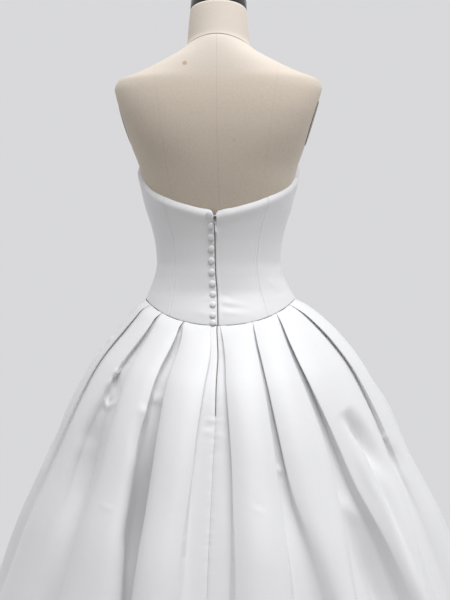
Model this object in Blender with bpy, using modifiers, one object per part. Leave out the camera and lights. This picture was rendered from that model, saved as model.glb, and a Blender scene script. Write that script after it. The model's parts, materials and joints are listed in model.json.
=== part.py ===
"""A strapless satin ball gown on a limbless dress form.

Metres, +Z up. The floor is z = 0 and the stand's pole is on the Z axis. The gown's back faces -Y,
the wearer's right is +X. Angles run round the body from the centre back, positive towards +X.
"""
import math

import bmesh
import bpy
import numpy as np
from mathutils import Vector

GAP = 0.0003                # between two pieces that touch
CLOTH = 0.0015              # wall of the satin with its backing
WAIST_GAP = 0.0009          # between the middles of the walls' edges, which both lean outwards
SEAM_SIDE_HEIGHT = 1.003    # dropped waist seam at the sides
SEAM_BACK_DIP = 0.048       # the seam's point below that at the centre back
SEAM_FRONT_DIP = 0.055
HEM_HEIGHT = 0.008
FORM_BOTTOM = 0.800
NECK_HEIGHT = 1.562         # the neck's tilted top at its centre
NECK_TILT = 0.330           # slope of that top, high at the back
NECK_BASE = 1.492
BUST_HEIGHT = 1.235
BUST_RISE = 0.014           # how far each cup stands out of the chest
BUST_ANGLE = math.radians(150)
POLE_RADIUS = 0.016
BASE_RADIUS = 0.210
BASE_THICKNESS = 0.018
CAP_HEIGHT = 0.024
PLATE_HEIGHT = 1.338        # centre of the arm plates
PLATE_HALF_DEPTH = 0.040
PLATE_HALF_HEIGHT = 0.045
PLATE_THICKNESS = 0.0025
PRINCESS_BACK = math.radians(42)
SIDE_SEAM = math.radians(90)
PRINCESS_FRONT = math.radians(140)
CENTRE_FRONT = math.radians(180)
CENTRE_ROOM = 0.0024        # more room at the centre back and front than at the sides
TOP_STAND_OFF = 0.006       # the free top edge stands this far off the form at sides and front
RIGHT_WING = math.radians(84)
RIGHT_WING_SPREAD = math.radians(20)
RIGHT_WING_DIP = 0.012
BUTTON_RADIUS = 0.0060
BUTTON_RISE = 0.0042
BUTTON_LIFT = 0.0006        # the flat base clears the hollow of the back by this much
BUTTON_HEIGHTS = (1.1615, 1.1400, 1.1188, 1.0974, 1.0750, 1.0535, 1.0318, 1.0122, 0.9928, 0.9735,
                  0.9595)
ZIP_OPENING = 0.0008        # half the slot that the zip closes
ZIP_WIDTH = 0.022
ZIP_TAPE = 0.0008
ZIP_TOP = 1.160
ZIP_END_DROP = 0.165        # the zip runs this share of the way down the skirt
NOTCH_BOTTOM = 1.1565       # above it the two top corners fold apart
NOTCH_SPREAD = 0.62         # slope of each folded corner
SLIDER_HEIGHT = 1.1535
SLIDER_X = -0.0013          # a little right of the slot, clear of the buttons
SLIDER_SIZE = (0.0054, 0.0020, 0.0120)
EAR_X = 0.0019              # centre of each ear beside the pull
PIVOT_OUT = 0.0019          # pivot in front of the slider's plate
PULL_PIVOT_DROP = 0.0072    # pivot below the slider's centre
PULL_LENGTH = 0.0185
PULL_SLANT = 0.17           # the tab hangs askew, away from the buttons
PIN_RADIUS = 0.0005
EYE_HOLE_RADIUS = 0.00085
EYE_RADIUS = 0.0015
EYE_LENGTH = 0.0022
PULL_THICKNESS = 0.0012

# height, half the width, centre line to back, centre line to front, squareness of the section
FORM_COLUMNS = ("height", "half_width", "back", "front", "squareness")
FORM_SECTIONS = (
    (0.800, 0.1600, 0.112, 0.112, 2.1),
    (0.870, 0.1660, 0.122, 0.115, 2.1),
    (0.950, 0.1490, 0.108, 0.108, 2.1),
    (1.000, 0.1345, 0.094, 0.102, 2.1),
    (1.023, 0.1262, 0.089, 0.100, 2.1),
    (1.048, 0.1195, 0.085, 0.098, 2.1),
    (1.073, 0.1160, 0.083, 0.098, 2.1),
    (1.102, 0.1184, 0.084, 0.100, 2.1),
    (1.141, 0.1255, 0.089, 0.107, 2.1),
    (1.183, 0.1372, 0.096, 0.120, 2.2),
    (1.214, 0.1443, 0.102, 0.130, 2.2),
    (1.250, 0.1500, 0.108, 0.132, 2.3),
    (1.288, 0.1640, 0.114, 0.122, 2.6),
    (1.319, 0.1765, 0.117, 0.110, 2.8),
    (1.365, 0.1930, 0.114, 0.090, 2.8),
    (1.400, 0.1990, 0.102, 0.074, 2.6),
    (1.419, 0.1920, 0.092, 0.066, 2.5),
    (1.436, 0.1600, 0.086, 0.062, 2.3),
    (1.454, 0.1250, 0.081, 0.060, 2.2),
    (1.471, 0.0930, 0.076, 0.058, 2.1),
    (1.484, 0.0705, 0.069, 0.056, 2.0),
    (1.492, 0.0615, 0.062, 0.054, 2.0),
    (1.510, 0.0585, 0.056, 0.054, 2.0),
    (1.535, 0.0575, 0.053, 0.055, 2.0),
    (1.562, 0.0570, 0.051, 0.056, 2.0),
)
ARM_PLANE_FOOT = (1.288, 0.1625)     # height and half width where the flat armhole side starts
ARM_PLANE_SLOPE = 0.309              # it leans out by this much for each metre up

# height, room between the form and the middle of the bodice's wall
EASE_COLUMNS = ("height", "room")
EASE_SECTIONS = (
    (0.940, 0.0150),
    (1.000, 0.0100),
    (1.023, 0.0065),
    (1.048, 0.0030),
    (1.073, 0.0016),
    (1.110, 0.0016),
    (1.180, 0.0028),
    (1.280, 0.0030),
)

# angle from the centre back in degrees, height of the bodice's top edge there
TOP_COLUMNS = ("angle", "height")
TOP_EDGE = (
    (0.0, 1.1690),
    (10.0, 1.1715),
    (20.0, 1.1775),
    (30.0, 1.1840),
    (43.0, 1.1945),
    (55.0, 1.2055),
    (66.0, 1.2190),
    (78.0, 1.2370),
    (90.0, 1.2520),
    (105.0, 1.2640),
    (125.0, 1.2700),
    (150.0, 1.2740),
    (170.0, 1.2640),
    (180.0, 1.2600),
)

# lines down the back: the shift of the bodice, which hangs a little towards +X below the waist,
# the middle of the zip's slot, and the row of buttons
LINE_COLUMNS = ("height", "x")
LEAN_LINE = (
    (0.945, 0.0065),
    (0.970, 0.0062),
    (1.000, 0.0045),
    (1.023, 0.0025),
    (1.048, 0.0008),
    (1.073, 0.0000),
)
SLOT_LINE = (
    (0.950, 0.0056),
    (1.014, 0.0025),
    (1.057, -0.0009),
    (1.095, -0.0018),
    (1.140, -0.0023),
    (1.170, -0.0025),
)
BUTTON_LINE = (
    (0.955, -0.0037),
    (0.985, -0.0045),
    (1.014, -0.0052),
    (1.045, -0.0072),
    (1.075, -0.0082),
    (1.110, -0.0085),
    (1.142, -0.0084),
    (1.162, -0.0119),
)

# height, angle of the back princess seam from the centre back in degrees
PRINCESS_COLUMNS = ("height", "angle")
PRINCESS_LINE = (
    (0.950, 35.2),
    (0.965, 35.5),
    (1.020, 37.2),
    (1.073, 39.4),
    (1.130, 40.6),
    (1.195, 42.8),
)

# share of the way from seam to hem: ring radius to the bands' crests, depth over width, sideways
# shift of the ring, drop of a band's edges, depth of the recesses, tuck of a recess under the bands
PROFILE_COLUMNS = ("drop", "radius", "roundness", "shift", "edge", "recess", "tuck")
SKIRT_PROFILE = (
    (0.000, 0.1455, 0.84, 0.0065, 0.0010, 0.0042, 0.0090),
    (0.012, 0.1660, 0.85, 0.009, 0.0020, 0.0090, 0.0100),
    (0.030, 0.1860, 0.87, 0.013, 0.0035, 0.0135, 0.0110),
    (0.067, 0.2210, 0.90, 0.017, 0.0060, 0.0210, 0.0120),
    (0.117, 0.2600, 0.93, 0.018, 0.0080, 0.0285, 0.0110),
    (0.190, 0.3020, 0.95, 0.019, 0.0100, 0.0360, 0.0080),
    (0.300, 0.3530, 0.97, 0.021, 0.0125, 0.0425, 0.0020),
    (0.424, 0.4120, 0.98, 0.025, 0.0150, 0.0480, -0.0080),
    (0.600, 0.4780, 0.99, 0.028, 0.0175, 0.0520, -0.0180),
    (0.800, 0.5440, 1.00, 0.030, 0.0200, 0.0555, -0.0260),
    (1.000, 0.5900, 1.00, 0.030, 0.0220, 0.0580, -0.0320),
)

# each box pleat's band: where it starts and ends, in degrees, at four levels of the skirt, and how
# deep the recess before it is beside the others
FOLD_LEVELS = (0.0, 0.09, 0.28, 0.55)
FOLD_COLUMNS = ("waist_start", "waist_end", "hip_start", "hip_end",
                "knee_start", "knee_end", "low_start", "low_end", "recess")
FOLDS = (
    (0.8, 20.7, 1.5, 17.6, 3.4, 17.4, 3.3, 16.0, 0.80),
    (21.8, 41.6, 18.9, 34.7, 21.1, 35.9, 27.9, 32.4, 1.00),
    (42.6, 59.6, 37.1, 63.3, 42.2, 63.2, 50.3, 54.1, 1.10),
    (62.5, 89.0, 67.5, 87.5, 69.5, 84.5, 69.0, 80.5, 0.95),
    (92.0, 114.5, 92.0, 112.5, 91.0, 107.5, 90.0, 102.0, 1.05),
    (116.5, 140.0, 116.0, 136.5, 114.5, 131.0, 114.5, 126.0, 0.90),
    (142.0, 166.0, 141.0, 162.0, 140.5, 157.0, 139.0, 152.5, 1.10),
    (168.5, 191.5, 167.0, 189.0, 166.5, 185.0, 164.5, 181.5, 1.00),
    (194.0, 218.0, 194.0, 215.5, 194.5, 212.5, 193.0, 208.0, 1.05),
    (220.0, 243.5, 219.5, 241.0, 221.0, 237.0, 220.5, 232.0, 0.90),
    (245.5, 268.0, 245.0, 267.0, 246.0, 262.5, 245.5, 258.0, 1.05),
    (270.5, 298.0, 270.5, 287.5, 269.5, 283.5, 266.5, 277.5, 0.95),
    (300.6, 316.6, 292.8, 308.2, 291.8, 304.7, 287.3, 309.4, 1.00),
    (317.9, 337.0, 314.4, 330.3, 318.0, 331.8, 317.2, 334.5, 1.05),
    (338.0, 355.9, 335.8, 353.1, 337.8, 350.9, 338.4, 348.7, 0.90),
)
BODICE_ROWS = 11
PLEATS_PER_PANEL = 3
CENTRE_SEAM_SHIFT = math.radians(1.3)       # of the centre back seam at the waist, to meet the slot
SKIRT_PANELS = ("back_right", "side_right", "front", "side_left", "back_left")
CONTROLS = 8                                # guide points of the cross section for each pleat
STATIONS = (0.0, 0.55, 1.1, 1.7, 2.25, 2.9, 4.0, 5.1, 5.75, 6.3, 6.9, 7.45)
SKIRT_ROWS = (0.0, 0.010, 0.028, 0.060, 0.105, 0.165, 0.250, 0.360, 0.490, 0.650, 0.820, 1.0)

SATIN = (0.86, 0.86, 0.89, 1.0)
LINEN = (0.66, 0.60, 0.53, 1.0)
BLACK = (0.02, 0.02, 0.02, 1.0)
STEEL = (0.55, 0.55, 0.55, 1.0)
ENAMEL = (0.90, 0.90, 0.90, 1.0)


def column(rows, names, name):
    """One named column of a table, as an array."""
    return np.array([row[names.index(name)] for row in rows], float)


def smooth(xs, ys, at):
    """Curve through the points (xs, ys), cubic between them, that never overshoots a point."""
    xs, ys, at = np.asarray(xs, float), np.asarray(ys, float), np.asarray(at, float)
    steps = np.diff(xs)
    slopes = np.diff(ys) / steps
    product = slopes[:-1] * slopes[1:]
    total = slopes[:-1] + slopes[1:]
    inner = np.where(product > 0, 2 * product / np.where(product > 0, total, 1.0), 0.0)
    tangents = np.concatenate([slopes[:1], inner, slopes[-1:]])
    at = np.clip(at, xs[0], xs[-1])
    i = np.clip(np.searchsorted(xs, at, side="right") - 1, 0, len(steps) - 1)
    f = (at - xs[i]) / steps[i]
    start = (1 + 2 * f) * (1 - f) ** 2 * ys[i] + f * (1 - f) ** 2 * steps[i] * tangents[i]
    end = f * f * (3 - 2 * f) * ys[i + 1] + f * f * (f - 1) * steps[i] * tangents[i + 1]
    return start + end


def form_column(name, height):
    """A size of the dress form's section at a height."""
    heights = column(FORM_SECTIONS, FORM_COLUMNS, "height")
    return smooth(heights, column(FORM_SECTIONS, FORM_COLUMNS, name), height)


def soft_power(value, power):
    """Signed power, for the rounded-square sections."""
    return np.sign(value) * np.abs(value) ** power


def form_point(angle, height, out=0.0):
    """Point of the form's skin at an angle and height, moved out by out; the last axis is x, y, z.

    The section is a rounded square of two half depths, with a cup on each side of the front and a
    flat armhole side.
    """
    angle, height = np.broadcast_arrays(np.asarray(angle, float), np.asarray(height, float))
    power = 2 / form_column("squareness", height)
    sine, cosine = np.sin(angle), np.cos(angle)
    away = np.abs(np.mod(angle + math.pi, 2 * math.pi) - math.pi)
    cup = np.exp(-((away - BUST_ANGLE) / 0.33) ** 2 - ((height - BUST_HEIGHT) / 0.055) ** 2)
    front = form_column("front", height) + BUST_RISE * cup
    depth = np.where(cosine > 0, form_column("back", height), front)
    x = (form_column("half_width", height) + out) * soft_power(sine, power)
    y = -(depth + out) * soft_power(cosine, power)
    side = ARM_PLANE_FOOT[1] + (height - ARM_PLANE_FOOT[0]) * ARM_PLANE_SLOPE + out
    limit = np.where(height > BUST_HEIGHT, side, 1.0)
    return np.stack([np.clip(x, -limit, limit), y, height], axis=-1)


def seam_height(angle):
    """Height of the dropped waist seam: lowest at the centre back and centre front."""
    cosine = np.cos(angle)
    dip = np.where(cosine > 0, SEAM_BACK_DIP, SEAM_FRONT_DIP)
    return SEAM_SIDE_HEIGHT - dip * cosine ** 2


def top_height(angle):
    """Height of the bodice's top edge: low at the back, rising to the cups, with the right wing
    a little lower than the left one."""
    turned = np.mod(angle + math.pi, 2 * math.pi) - math.pi
    angles = np.radians(column(TOP_EDGE, TOP_COLUMNS, "angle"))
    dip = RIGHT_WING_DIP * np.exp(-((turned - RIGHT_WING) / RIGHT_WING_SPREAD) ** 2)
    return smooth(angles, column(TOP_EDGE, TOP_COLUMNS, "height"), np.abs(turned)) - dip


def line_x(line, height):
    """X at a height on one of the lines down the back."""
    return smooth(column(line, LINE_COLUMNS, "height"), column(line, LINE_COLUMNS, "x"), height)


def bodice_point(angle, height, out=0.0):
    """Middle of the bodice's wall: the form's skin moved out by the room the dress leaves, and
    shifted by the lean."""
    angle, height = np.broadcast_arrays(np.asarray(angle, float), np.asarray(height, float))
    heights = column(EASE_SECTIONS, EASE_COLUMNS, "height")
    room = smooth(heights, column(EASE_SECTIONS, EASE_COLUMNS, "room"), height)
    rise = np.clip(1 - (top_height(angle) - height) / 0.05, 0, 1)
    stand = TOP_STAND_OFF * rise ** 2 * np.clip(0.3 - np.cos(angle), 0, 1)
    point = form_point(angle, height, room + CENTRE_ROOM * np.cos(angle) ** 2 + stand + out)
    point[..., 0] += line_x(LEAN_LINE, height)
    return point


def back_angle(x, height):
    """Angle at which the bodice's back has the given x."""
    shift = line_x(LEAN_LINE, height)
    half = bodice_point(SIDE_SEAM, height)[..., 0] - shift
    power = form_column("squareness", height) / 2
    return np.arcsin(soft_power(np.clip((x - shift) / half, -1, 1), power))


def profile(name, drop):
    """A size of the skirt's cross section, a share drop of the way from seam to hem."""
    drops = column(SKIRT_PROFILE, PROFILE_COLUMNS, "drop")
    return smooth(drops, column(SKIRT_PROFILE, PROFILE_COLUMNS, name), drop)


def fold_angles(drop):
    """Start and end angle of each band at every drop: two arrays of drops by bands.

    What runs smoothly is an edge's distance round the ring, against the ring's radius.
    """
    ends = []
    rings = profile("radius", FOLD_LEVELS)
    ring = profile("radius", np.minimum(drop, FOLD_LEVELS[-1]))
    for end in ("start", "end"):
        levels = np.array([column(FOLDS, FOLD_COLUMNS, level + "_" + end)
                           for level in ("waist", "hip", "knee", "low")])
        bands = [smooth(rings, levels[:, k] * rings, ring) / ring for k in range(len(FOLDS))]
        ends.append(np.radians(np.stack(bands, axis=-1)))
    return ends


def skirt_guides(drop):
    """Angle and inward offset of the guide points round the skirt, eight for each pleat.

    In order: the recess, its corner under the band, the band's edge, its shoulder, its crest, then
    the same back down. Near the waist the corners are tucked under the bands, as in a box pleat;
    lower down they draw apart until the fold is a wave. An edge's guide reaches past the edge,
    because the spline turns back before it.
    """
    start, end = fold_angles(drop)
    before = np.roll(end, 1, axis=1)
    before[:, 0] -= 2 * math.pi
    after = np.roll(start, -1, axis=1)
    after[:, -1] += 2 * math.pi
    radius = profile("radius", drop)[:, None]
    tuck = profile("tuck", drop)[:, None] / radius
    width, gap_before, gap_after = end - start, start - before, after - end
    tuck_start = np.clip(tuck, -0.36 * gap_before, 0.30 * width)
    tuck_end = np.clip(tuck, -0.36 * gap_after, 0.30 * width)
    reach_start = np.clip(tuck_start + 0.22 * width, 0, 1) / 4
    reach_end = np.clip(tuck_end + 0.22 * width, 0, 1) / 4
    middle = (before + start) / 2
    middle[:, 0] += CENTRE_SEAM_SHIFT * np.clip(1 - drop / 0.06, 0, 1)
    angles = np.stack([middle, start + tuck_start, start - reach_start, start + 0.22 * width,
                       (start + end) / 2, end - 0.22 * width, end + reach_end, end - tuck_end],
                      axis=2)
    share = column(FOLDS, FOLD_COLUMNS, "recess")
    recess = profile("recess", drop)[:, None] * share
    recess_after = profile("recess", drop)[:, None] * np.roll(share, -1)
    edge = profile("edge", drop)[:, None] * np.ones_like(width)
    inward = np.stack([recess, 0.94 * recess, edge, 0.22 * edge,
                       0 * edge, 0.22 * edge, edge, 0.94 * recess_after], axis=2)
    return angles.reshape(len(drop), -1), inward.reshape(len(drop), -1)


def skirt_point(station, drop):
    """Middle of the skirt's wall: rows of drop by columns of station, eight stations a pleat.

    The cross section is a cubic B-spline through the guide points. At the seam it follows the
    bodice's edge, and below that it swells to the ring of the profile.
    """
    station, drop = np.asarray(station, float), np.asarray(drop, float)
    angles, inward = skirt_guides(drop)
    count = angles.shape[1]
    i = np.floor(station).astype(int)
    f = station - i
    weights = ((1 - f) ** 3 / 6, (3 * f ** 3 - 6 * f ** 2 + 4) / 6,
               (-3 * f ** 3 + 3 * f ** 2 + 3 * f + 1) / 6, f ** 3 / 6)
    angle = np.zeros((len(drop), len(station)))
    sink = np.zeros_like(angle)
    for shift, weight in zip((-1, 0, 1, 2), weights):
        turns, index = np.divmod(i + shift, count)
        angle += weight * (angles[:, index] + 2 * math.pi * turns)
        sink += weight * inward[:, index]
    down = drop[:, None]
    radius = profile("radius", drop)[:, None] - sink
    seam = seam_height(angle)
    ring = np.stack([profile("shift", drop)[:, None] + radius * np.sin(angle),
                     -profile("roundness", drop)[:, None] * radius * np.cos(angle),
                     seam * (1 - down) + HEM_HEIGHT * down], axis=-1)
    first = profile("radius", 0.0) - sink[:1]
    narrow = np.stack([profile("shift", 0.0) + first * np.sin(angle),
                       -profile("roundness", 0.0) * first * np.cos(angle)], axis=-1)
    bodice = bodice_point(angle, seam, 0.001 - sink[:1])[..., :2]
    follow = np.clip(1 - down / 0.06, 0, 1)[..., None]
    ring[..., :2] += (bodice - narrow) * follow ** 2
    return ring


def new_object(name, data, place):
    """Link one object to the gown's collection."""
    piece = bpy.data.objects.new(name, data)
    place.objects.link(piece)
    return piece


def material(name, colour, roughness, metallic=0.0):
    """A plain Principled material."""
    finish = bpy.data.materials.new(name)
    finish.use_nodes = True
    shader = finish.node_tree.nodes["Principled BSDF"]
    shader.inputs["Base Color"].default_value = colour
    shader.inputs["Roughness"].default_value = roughness
    shader.inputs["Metallic"].default_value = metallic
    return finish


def part_sides(grid, half_gap):
    """Draw the first and last column of a panel's grid in, which leaves the gap at its seams."""
    grid = grid.copy()
    for side, inner in ((0, 1), (-1, -2)):
        along = grid[:, inner] - grid[:, side]
        length = np.linalg.norm(along, axis=-1, keepdims=True)
        grid[:, side] += along / length * np.reshape(half_gap, (-1, 1))
    return grid


def cloth(name, grid, finish, place, thickness=CLOTH, even=True):
    """A panel of cloth: an open grid of points, given its wall by Solidify."""
    rows, columns = grid.shape[:2]
    index = np.arange(rows * columns).reshape(rows, columns)
    corners = (index[:-1, :-1], index[:-1, 1:], index[1:, 1:], index[1:, :-1])
    faces = np.stack(corners, axis=-1).reshape(-1, 4)
    mesh = bpy.data.meshes.new(name)
    mesh.from_pydata(grid.reshape(-1, 3).tolist(), [], faces.tolist())
    mesh.shade_smooth()
    piece = new_object(name, mesh, place)
    piece.data.materials.append(finish)
    wall = piece.modifiers.new("wall", "SOLIDIFY")
    wall.thickness = thickness
    wall.offset = 0.0
    wall.use_even_offset = even
    return piece


def loft(name, rings, finish, place):
    """A closed body through rings of points, with a flat face at each end."""
    rows, columns = rings.shape[:2]
    shell = bmesh.new()
    points = [[shell.verts.new(point) for point in ring] for ring in rings.tolist()]
    for row in range(rows - 1):
        for i in range(columns):
            j = (i + 1) % columns
            shell.faces.new((points[row][i], points[row][j], points[row + 1][j], points[row + 1][i]))
    shell.faces.new(points[0][::-1])
    shell.faces.new(points[-1])
    bmesh.ops.recalc_face_normals(shell, faces=shell.faces)
    mesh = bpy.data.meshes.new(name)
    shell.to_mesh(mesh)
    shell.free()
    mesh.shade_smooth()
    mesh.set_sharp_from_angle(angle=math.radians(40))
    piece = new_object(name, mesh, place)
    piece.data.materials.append(finish)
    return piece


def turned(name, outline, finish, place, steps):
    """A turned body: an outline of (radius, height), top to bottom, screwed round Z."""
    mesh = bpy.data.meshes.new(name)
    edges = [(i, i + 1) for i in range(len(outline) - 1)]
    mesh.from_pydata([(radius, 0.0, height) for radius, height in outline], edges, [])
    piece = new_object(name, mesh, place)
    piece.data.materials.append(finish)
    turn = piece.modifiers.new("turn", "SCREW")
    turn.steps = steps
    turn.render_steps = steps
    turn.use_merge_vertices = True
    turn.merge_threshold = 0.0001
    return piece


def make_dress_form(linen, place):
    """Torso and neck: rings that stay level up to the shoulders and tilt along the neck."""
    heights = np.concatenate([[FORM_BOTTOM, 0.860, 0.910], np.linspace(0.950, 1.150, 9),
                              [1.180, 1.215, 1.250, 1.288, 1.325, 1.365, 1.395, 1.413, 1.428,
                               1.443, 1.458, 1.472, 1.484, 1.492, 1.505, 1.530, NECK_HEIGHT]])
    angles = np.linspace(0, 2 * math.pi, 36, endpoint=False)
    rings = form_point(angles[None, :], heights[:, None])
    lean = np.clip((heights - NECK_BASE) / (NECK_HEIGHT - NECK_BASE), 0, 1)[:, None]
    slope = 0.5 * NECK_TILT * (heights > 1.47)[:, None] + 0.5 * NECK_TILT * lean
    rings[..., 2] -= slope * rings[..., 1]
    return loft("dress_form", rings, linen, place)


def neck_top(out, rise):
    """Ring of the neck's tilted top, moved out, and moved up along the neck's own axis."""
    angles = np.linspace(0, 2 * math.pi, 36, endpoint=False)
    ring = form_point(angles, np.full(36, NECK_HEIGHT), out)
    ring[..., 2] -= NECK_TILT * ring[..., 1]
    axis = Vector((0, NECK_TILT, 1)).normalized()
    return ring + rise * np.array(axis)


def make_neck_cap(black, place):
    """The cap that closes the neck: straight sides and a low rounded top."""
    steps = ((0.0, GAP), (0.0, 0.85 * CAP_HEIGHT), (-0.003, CAP_HEIGHT), (-0.014, 1.12 * CAP_HEIGHT))
    rings = np.stack([neck_top(out, rise) for out, rise in steps])
    return loft("neck_cap", rings, black, place)


def make_arm_plate(side, black, place):
    """An oval plate that lies on the flat armhole side."""
    count = 24
    around = np.linspace(0, 2 * math.pi, count, endpoint=False)
    y = PLATE_HALF_DEPTH * np.cos(around)
    z = PLATE_HEIGHT + PLATE_HALF_HEIGHT * np.sin(around)
    rings = []
    for out in (GAP, GAP + PLATE_THICKNESS):
        x = ARM_PLANE_FOOT[1] + (z - ARM_PLANE_FOOT[0]) * ARM_PLANE_SLOPE + out * 1.05
        rings.append(np.stack([side * x, y, z], axis=-1))
    name = "arm_plate_right" if side > 0 else "arm_plate_left"
    return loft(name, np.stack(rings), black, place)


def make_stand(steel, black, place):
    """Pole and round base."""
    top, foot = FORM_BOTTOM - GAP, BASE_THICKNESS + GAP
    turned("pole", [(0, top), (POLE_RADIUS, top), (POLE_RADIUS, foot), (0, foot)], steel, place, 24)
    rim = BASE_RADIUS
    outline = [(0, BASE_THICKNESS), (0.9 * rim, BASE_THICKNESS), (0.97 * rim, 0.85 * BASE_THICKNESS),
               (rim, 0.5 * BASE_THICKNESS), (rim, 0.0), (0, 0.0)]
    turned("base", outline, black, place, 48)


def centre_back_x(side, height):
    """X of a centre back panel's edge: the slot's middle, and half the zip's slot or of the notch
    over it."""
    half = ZIP_OPENING + NOTCH_SPREAD * np.clip(height - NOTCH_BOTTOM, 0, 1)
    return line_x(SLOT_LINE, height) + side * half


def bodice_height(angle, share):
    """Height a share of the way up the bodice."""
    low = seam_height(angle) + GAP
    return low + (top_height(angle) - low) * share


def seam_angle(angle, height):
    """Angle of a panel's edge at a height: the back princess seams draw in below the waist."""
    if abs(abs(angle) - PRINCESS_BACK) > 0.001:
        return np.full(np.shape(height), angle)
    heights = column(PRINCESS_LINE, PRINCESS_COLUMNS, "height")
    line = smooth(heights, column(PRINCESS_LINE, PRINCESS_COLUMNS, "angle"), height)
    return np.sign(angle) * np.radians(line)


def bodice_grid(first, last, columns):
    """Points of one bodice panel, from the waist seam up to the top edge."""
    share = np.linspace(0, 1, BODICE_ROWS)
    edges = []
    for edge in (first, last):
        height = bodice_height(np.full(BODICE_ROWS, edge), share)
        if edge == 0:
            edges.append(back_angle(centre_back_x(np.sign(first + last), height), height))
        else:
            edges.append(seam_angle(edge, height))
    across = np.linspace(0, 1, columns)[None, :]
    angle = edges[0][:, None] * (1 - across) + edges[1][:, None] * across
    return bodice_point(angle, bodice_height(angle, share[:, None]))


def make_bodice(satin, place):
    """Seven panels, cut at the princess seams and the side seams."""
    panels = (
        ("bodice_centre_back", 0.0, PRINCESS_BACK, 8),
        ("bodice_side_back", PRINCESS_BACK, SIDE_SEAM, 7),
        ("bodice_side_front", SIDE_SEAM, PRINCESS_FRONT, 7),
    )
    for name, first, last, columns in panels:
        right = bodice_grid(first, last, columns)
        left = bodice_grid(-last, -first, columns)
        gap = GAP / 2
        cloth(name + "_right", part_sides(right, gap), satin, place)
        cloth(name + "_left", part_sides(left, gap), satin, place)
    front = bodice_grid(PRINCESS_FRONT, 2 * CENTRE_FRONT - PRINCESS_FRONT, 11)
    cloth("bodice_centre_front", part_sides(front, GAP / 2), satin, place)


def slot_half(drop):
    """Half the slot in the skirt's centre back: open along the zip, sewn shut below it."""
    return np.where(np.asarray(drop) < ZIP_END_DROP, ZIP_OPENING, GAP / 2)


def make_skirt(satin, place):
    """Five gores of three box pleats each, seamed in the recesses between bands."""
    drop = np.array(SKIRT_ROWS)
    for number, name in enumerate(SKIRT_PANELS):
        base = number * PLEATS_PER_PANEL * CONTROLS
        stations = [base + CONTROLS * pleat + s for pleat in range(PLEATS_PER_PANEL) for s in STATIONS]
        stations.append(base + CONTROLS * PLEATS_PER_PANEL)
        grid = skirt_point(np.array(stations), drop)
        grid[..., 2] -= WAIST_GAP * (1 - drop[:, None])
        sewn = np.full(len(drop), GAP / 2)
        parted = part_sides(grid, sewn)
        open_back = part_sides(grid, slot_half(drop))
        if name == "back_right":
            parted[:, 0] = open_back[:, 0]
        if name == "back_left":
            parted[:, -1] = open_back[:, -1]
        cloth("skirt_" + name, parted, satin, place, even=False)


def make_zip_tape(satin, place):
    """The closed zip's tape, on the same rows as the panels in front of it.

    It lies behind the bodice's slot, steps in at the waist seam and follows the skirt's recess.
    """
    behind = CLOTH / 2 + 2 * GAP + ZIP_TAPE / 2
    across = np.linspace(-ZIP_WIDTH / 2, ZIP_WIDTH / 2, 5)[None, :]
    heights = bodice_height(0.0, np.linspace(1, 0, BODICE_ROWS))[1:-1, None]
    heights = np.concatenate([[[ZIP_TOP]], heights])
    bodice = bodice_point(back_angle(line_x(SLOT_LINE, heights) + across, heights), heights)
    step_in = np.interp(heights, [0.970, 1.010], [0.0035, 0.0])
    bodice[..., 1] += behind + step_in
    drops = np.array(SKIRT_ROWS)
    path = skirt_point([0.0], drops)[:, 0]
    path[:, 2] -= WAIST_GAP * (1 - drops)
    along = np.gradient(path[:, 1:], axis=0)
    along /= np.linalg.norm(along, axis=1, keepdims=True)
    path[:, 1] -= along[:, 1] * behind
    path[:, 2] += along[:, 0] * behind
    path = path[drops <= ZIP_END_DROP]
    skirt = np.stack(np.broadcast_arrays(path[:, :1] + across, path[:, 1:2], path[:, 2:]), axis=-1)
    cloth("zip_tape", np.concatenate([bodice, skirt]), satin, place, thickness=ZIP_TAPE)


def surface_frame(x, height):
    """Point of the bodice's outer face at the back, its outward direction and the way up it."""
    step = 0.002
    here = bodice_point(back_angle(x, height), height)
    above = bodice_point(back_angle(x, height + step), height + step)
    beside = bodice_point(back_angle(x + step, height), height)
    up = Vector(above - here).normalized()
    across = Vector(beside - here).normalized()
    outward = across.cross(up).normalized()
    return Vector(here) + outward * CLOTH / 2, outward, up


def make_buttons(satin, place):
    """Cloth-covered half-ball buttons in a row beside the slot."""
    bulge = [(BUTTON_RADIUS * math.sin(a), BUTTON_RISE * math.cos(a))
             for a in np.radians((0, 32, 60, 82))]
    outline = bulge + [(0.93 * BUTTON_RADIUS, 0.0), (0.0, 0.0)]
    for number, height in enumerate(BUTTON_HEIGHTS):
        spot, outward, up = surface_frame(line_x(BUTTON_LINE, height), height)
        button = turned("button_%02d" % (number + 1), outline, satin, place, 12)
        button.location = spot + outward * BUTTON_LIFT
        button.rotation_euler = outward.to_track_quat("Z", "Y").to_euler()


def make_box(name, size, centre):
    """A plain box mesh object, not yet in a collection."""
    solid = bmesh.new()
    bmesh.ops.create_cube(solid, size=1.0)
    bmesh.ops.scale(solid, vec=size, verts=solid.verts)
    bmesh.ops.translate(solid, vec=centre, verts=solid.verts)
    mesh = bpy.data.meshes.new(name)
    solid.to_mesh(mesh)
    solid.free()
    return bpy.data.objects.new(name, mesh)


def make_cylinder(name, radius, length, centre, segments=12):
    """A plain cylinder along X, not yet in a collection."""
    solid = bmesh.new()
    bmesh.ops.create_cone(solid, cap_ends=True, segments=segments, radius1=radius, radius2=radius,
                          depth=length)
    turn = Vector((1, 0, 0)).to_track_quat("Z", "Y").to_matrix()
    bmesh.ops.rotate(solid, matrix=turn, verts=solid.verts)
    bmesh.ops.translate(solid, vec=centre, verts=solid.verts)
    mesh = bpy.data.meshes.new(name)
    solid.to_mesh(mesh)
    solid.free()
    return bpy.data.objects.new(name, mesh)


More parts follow.
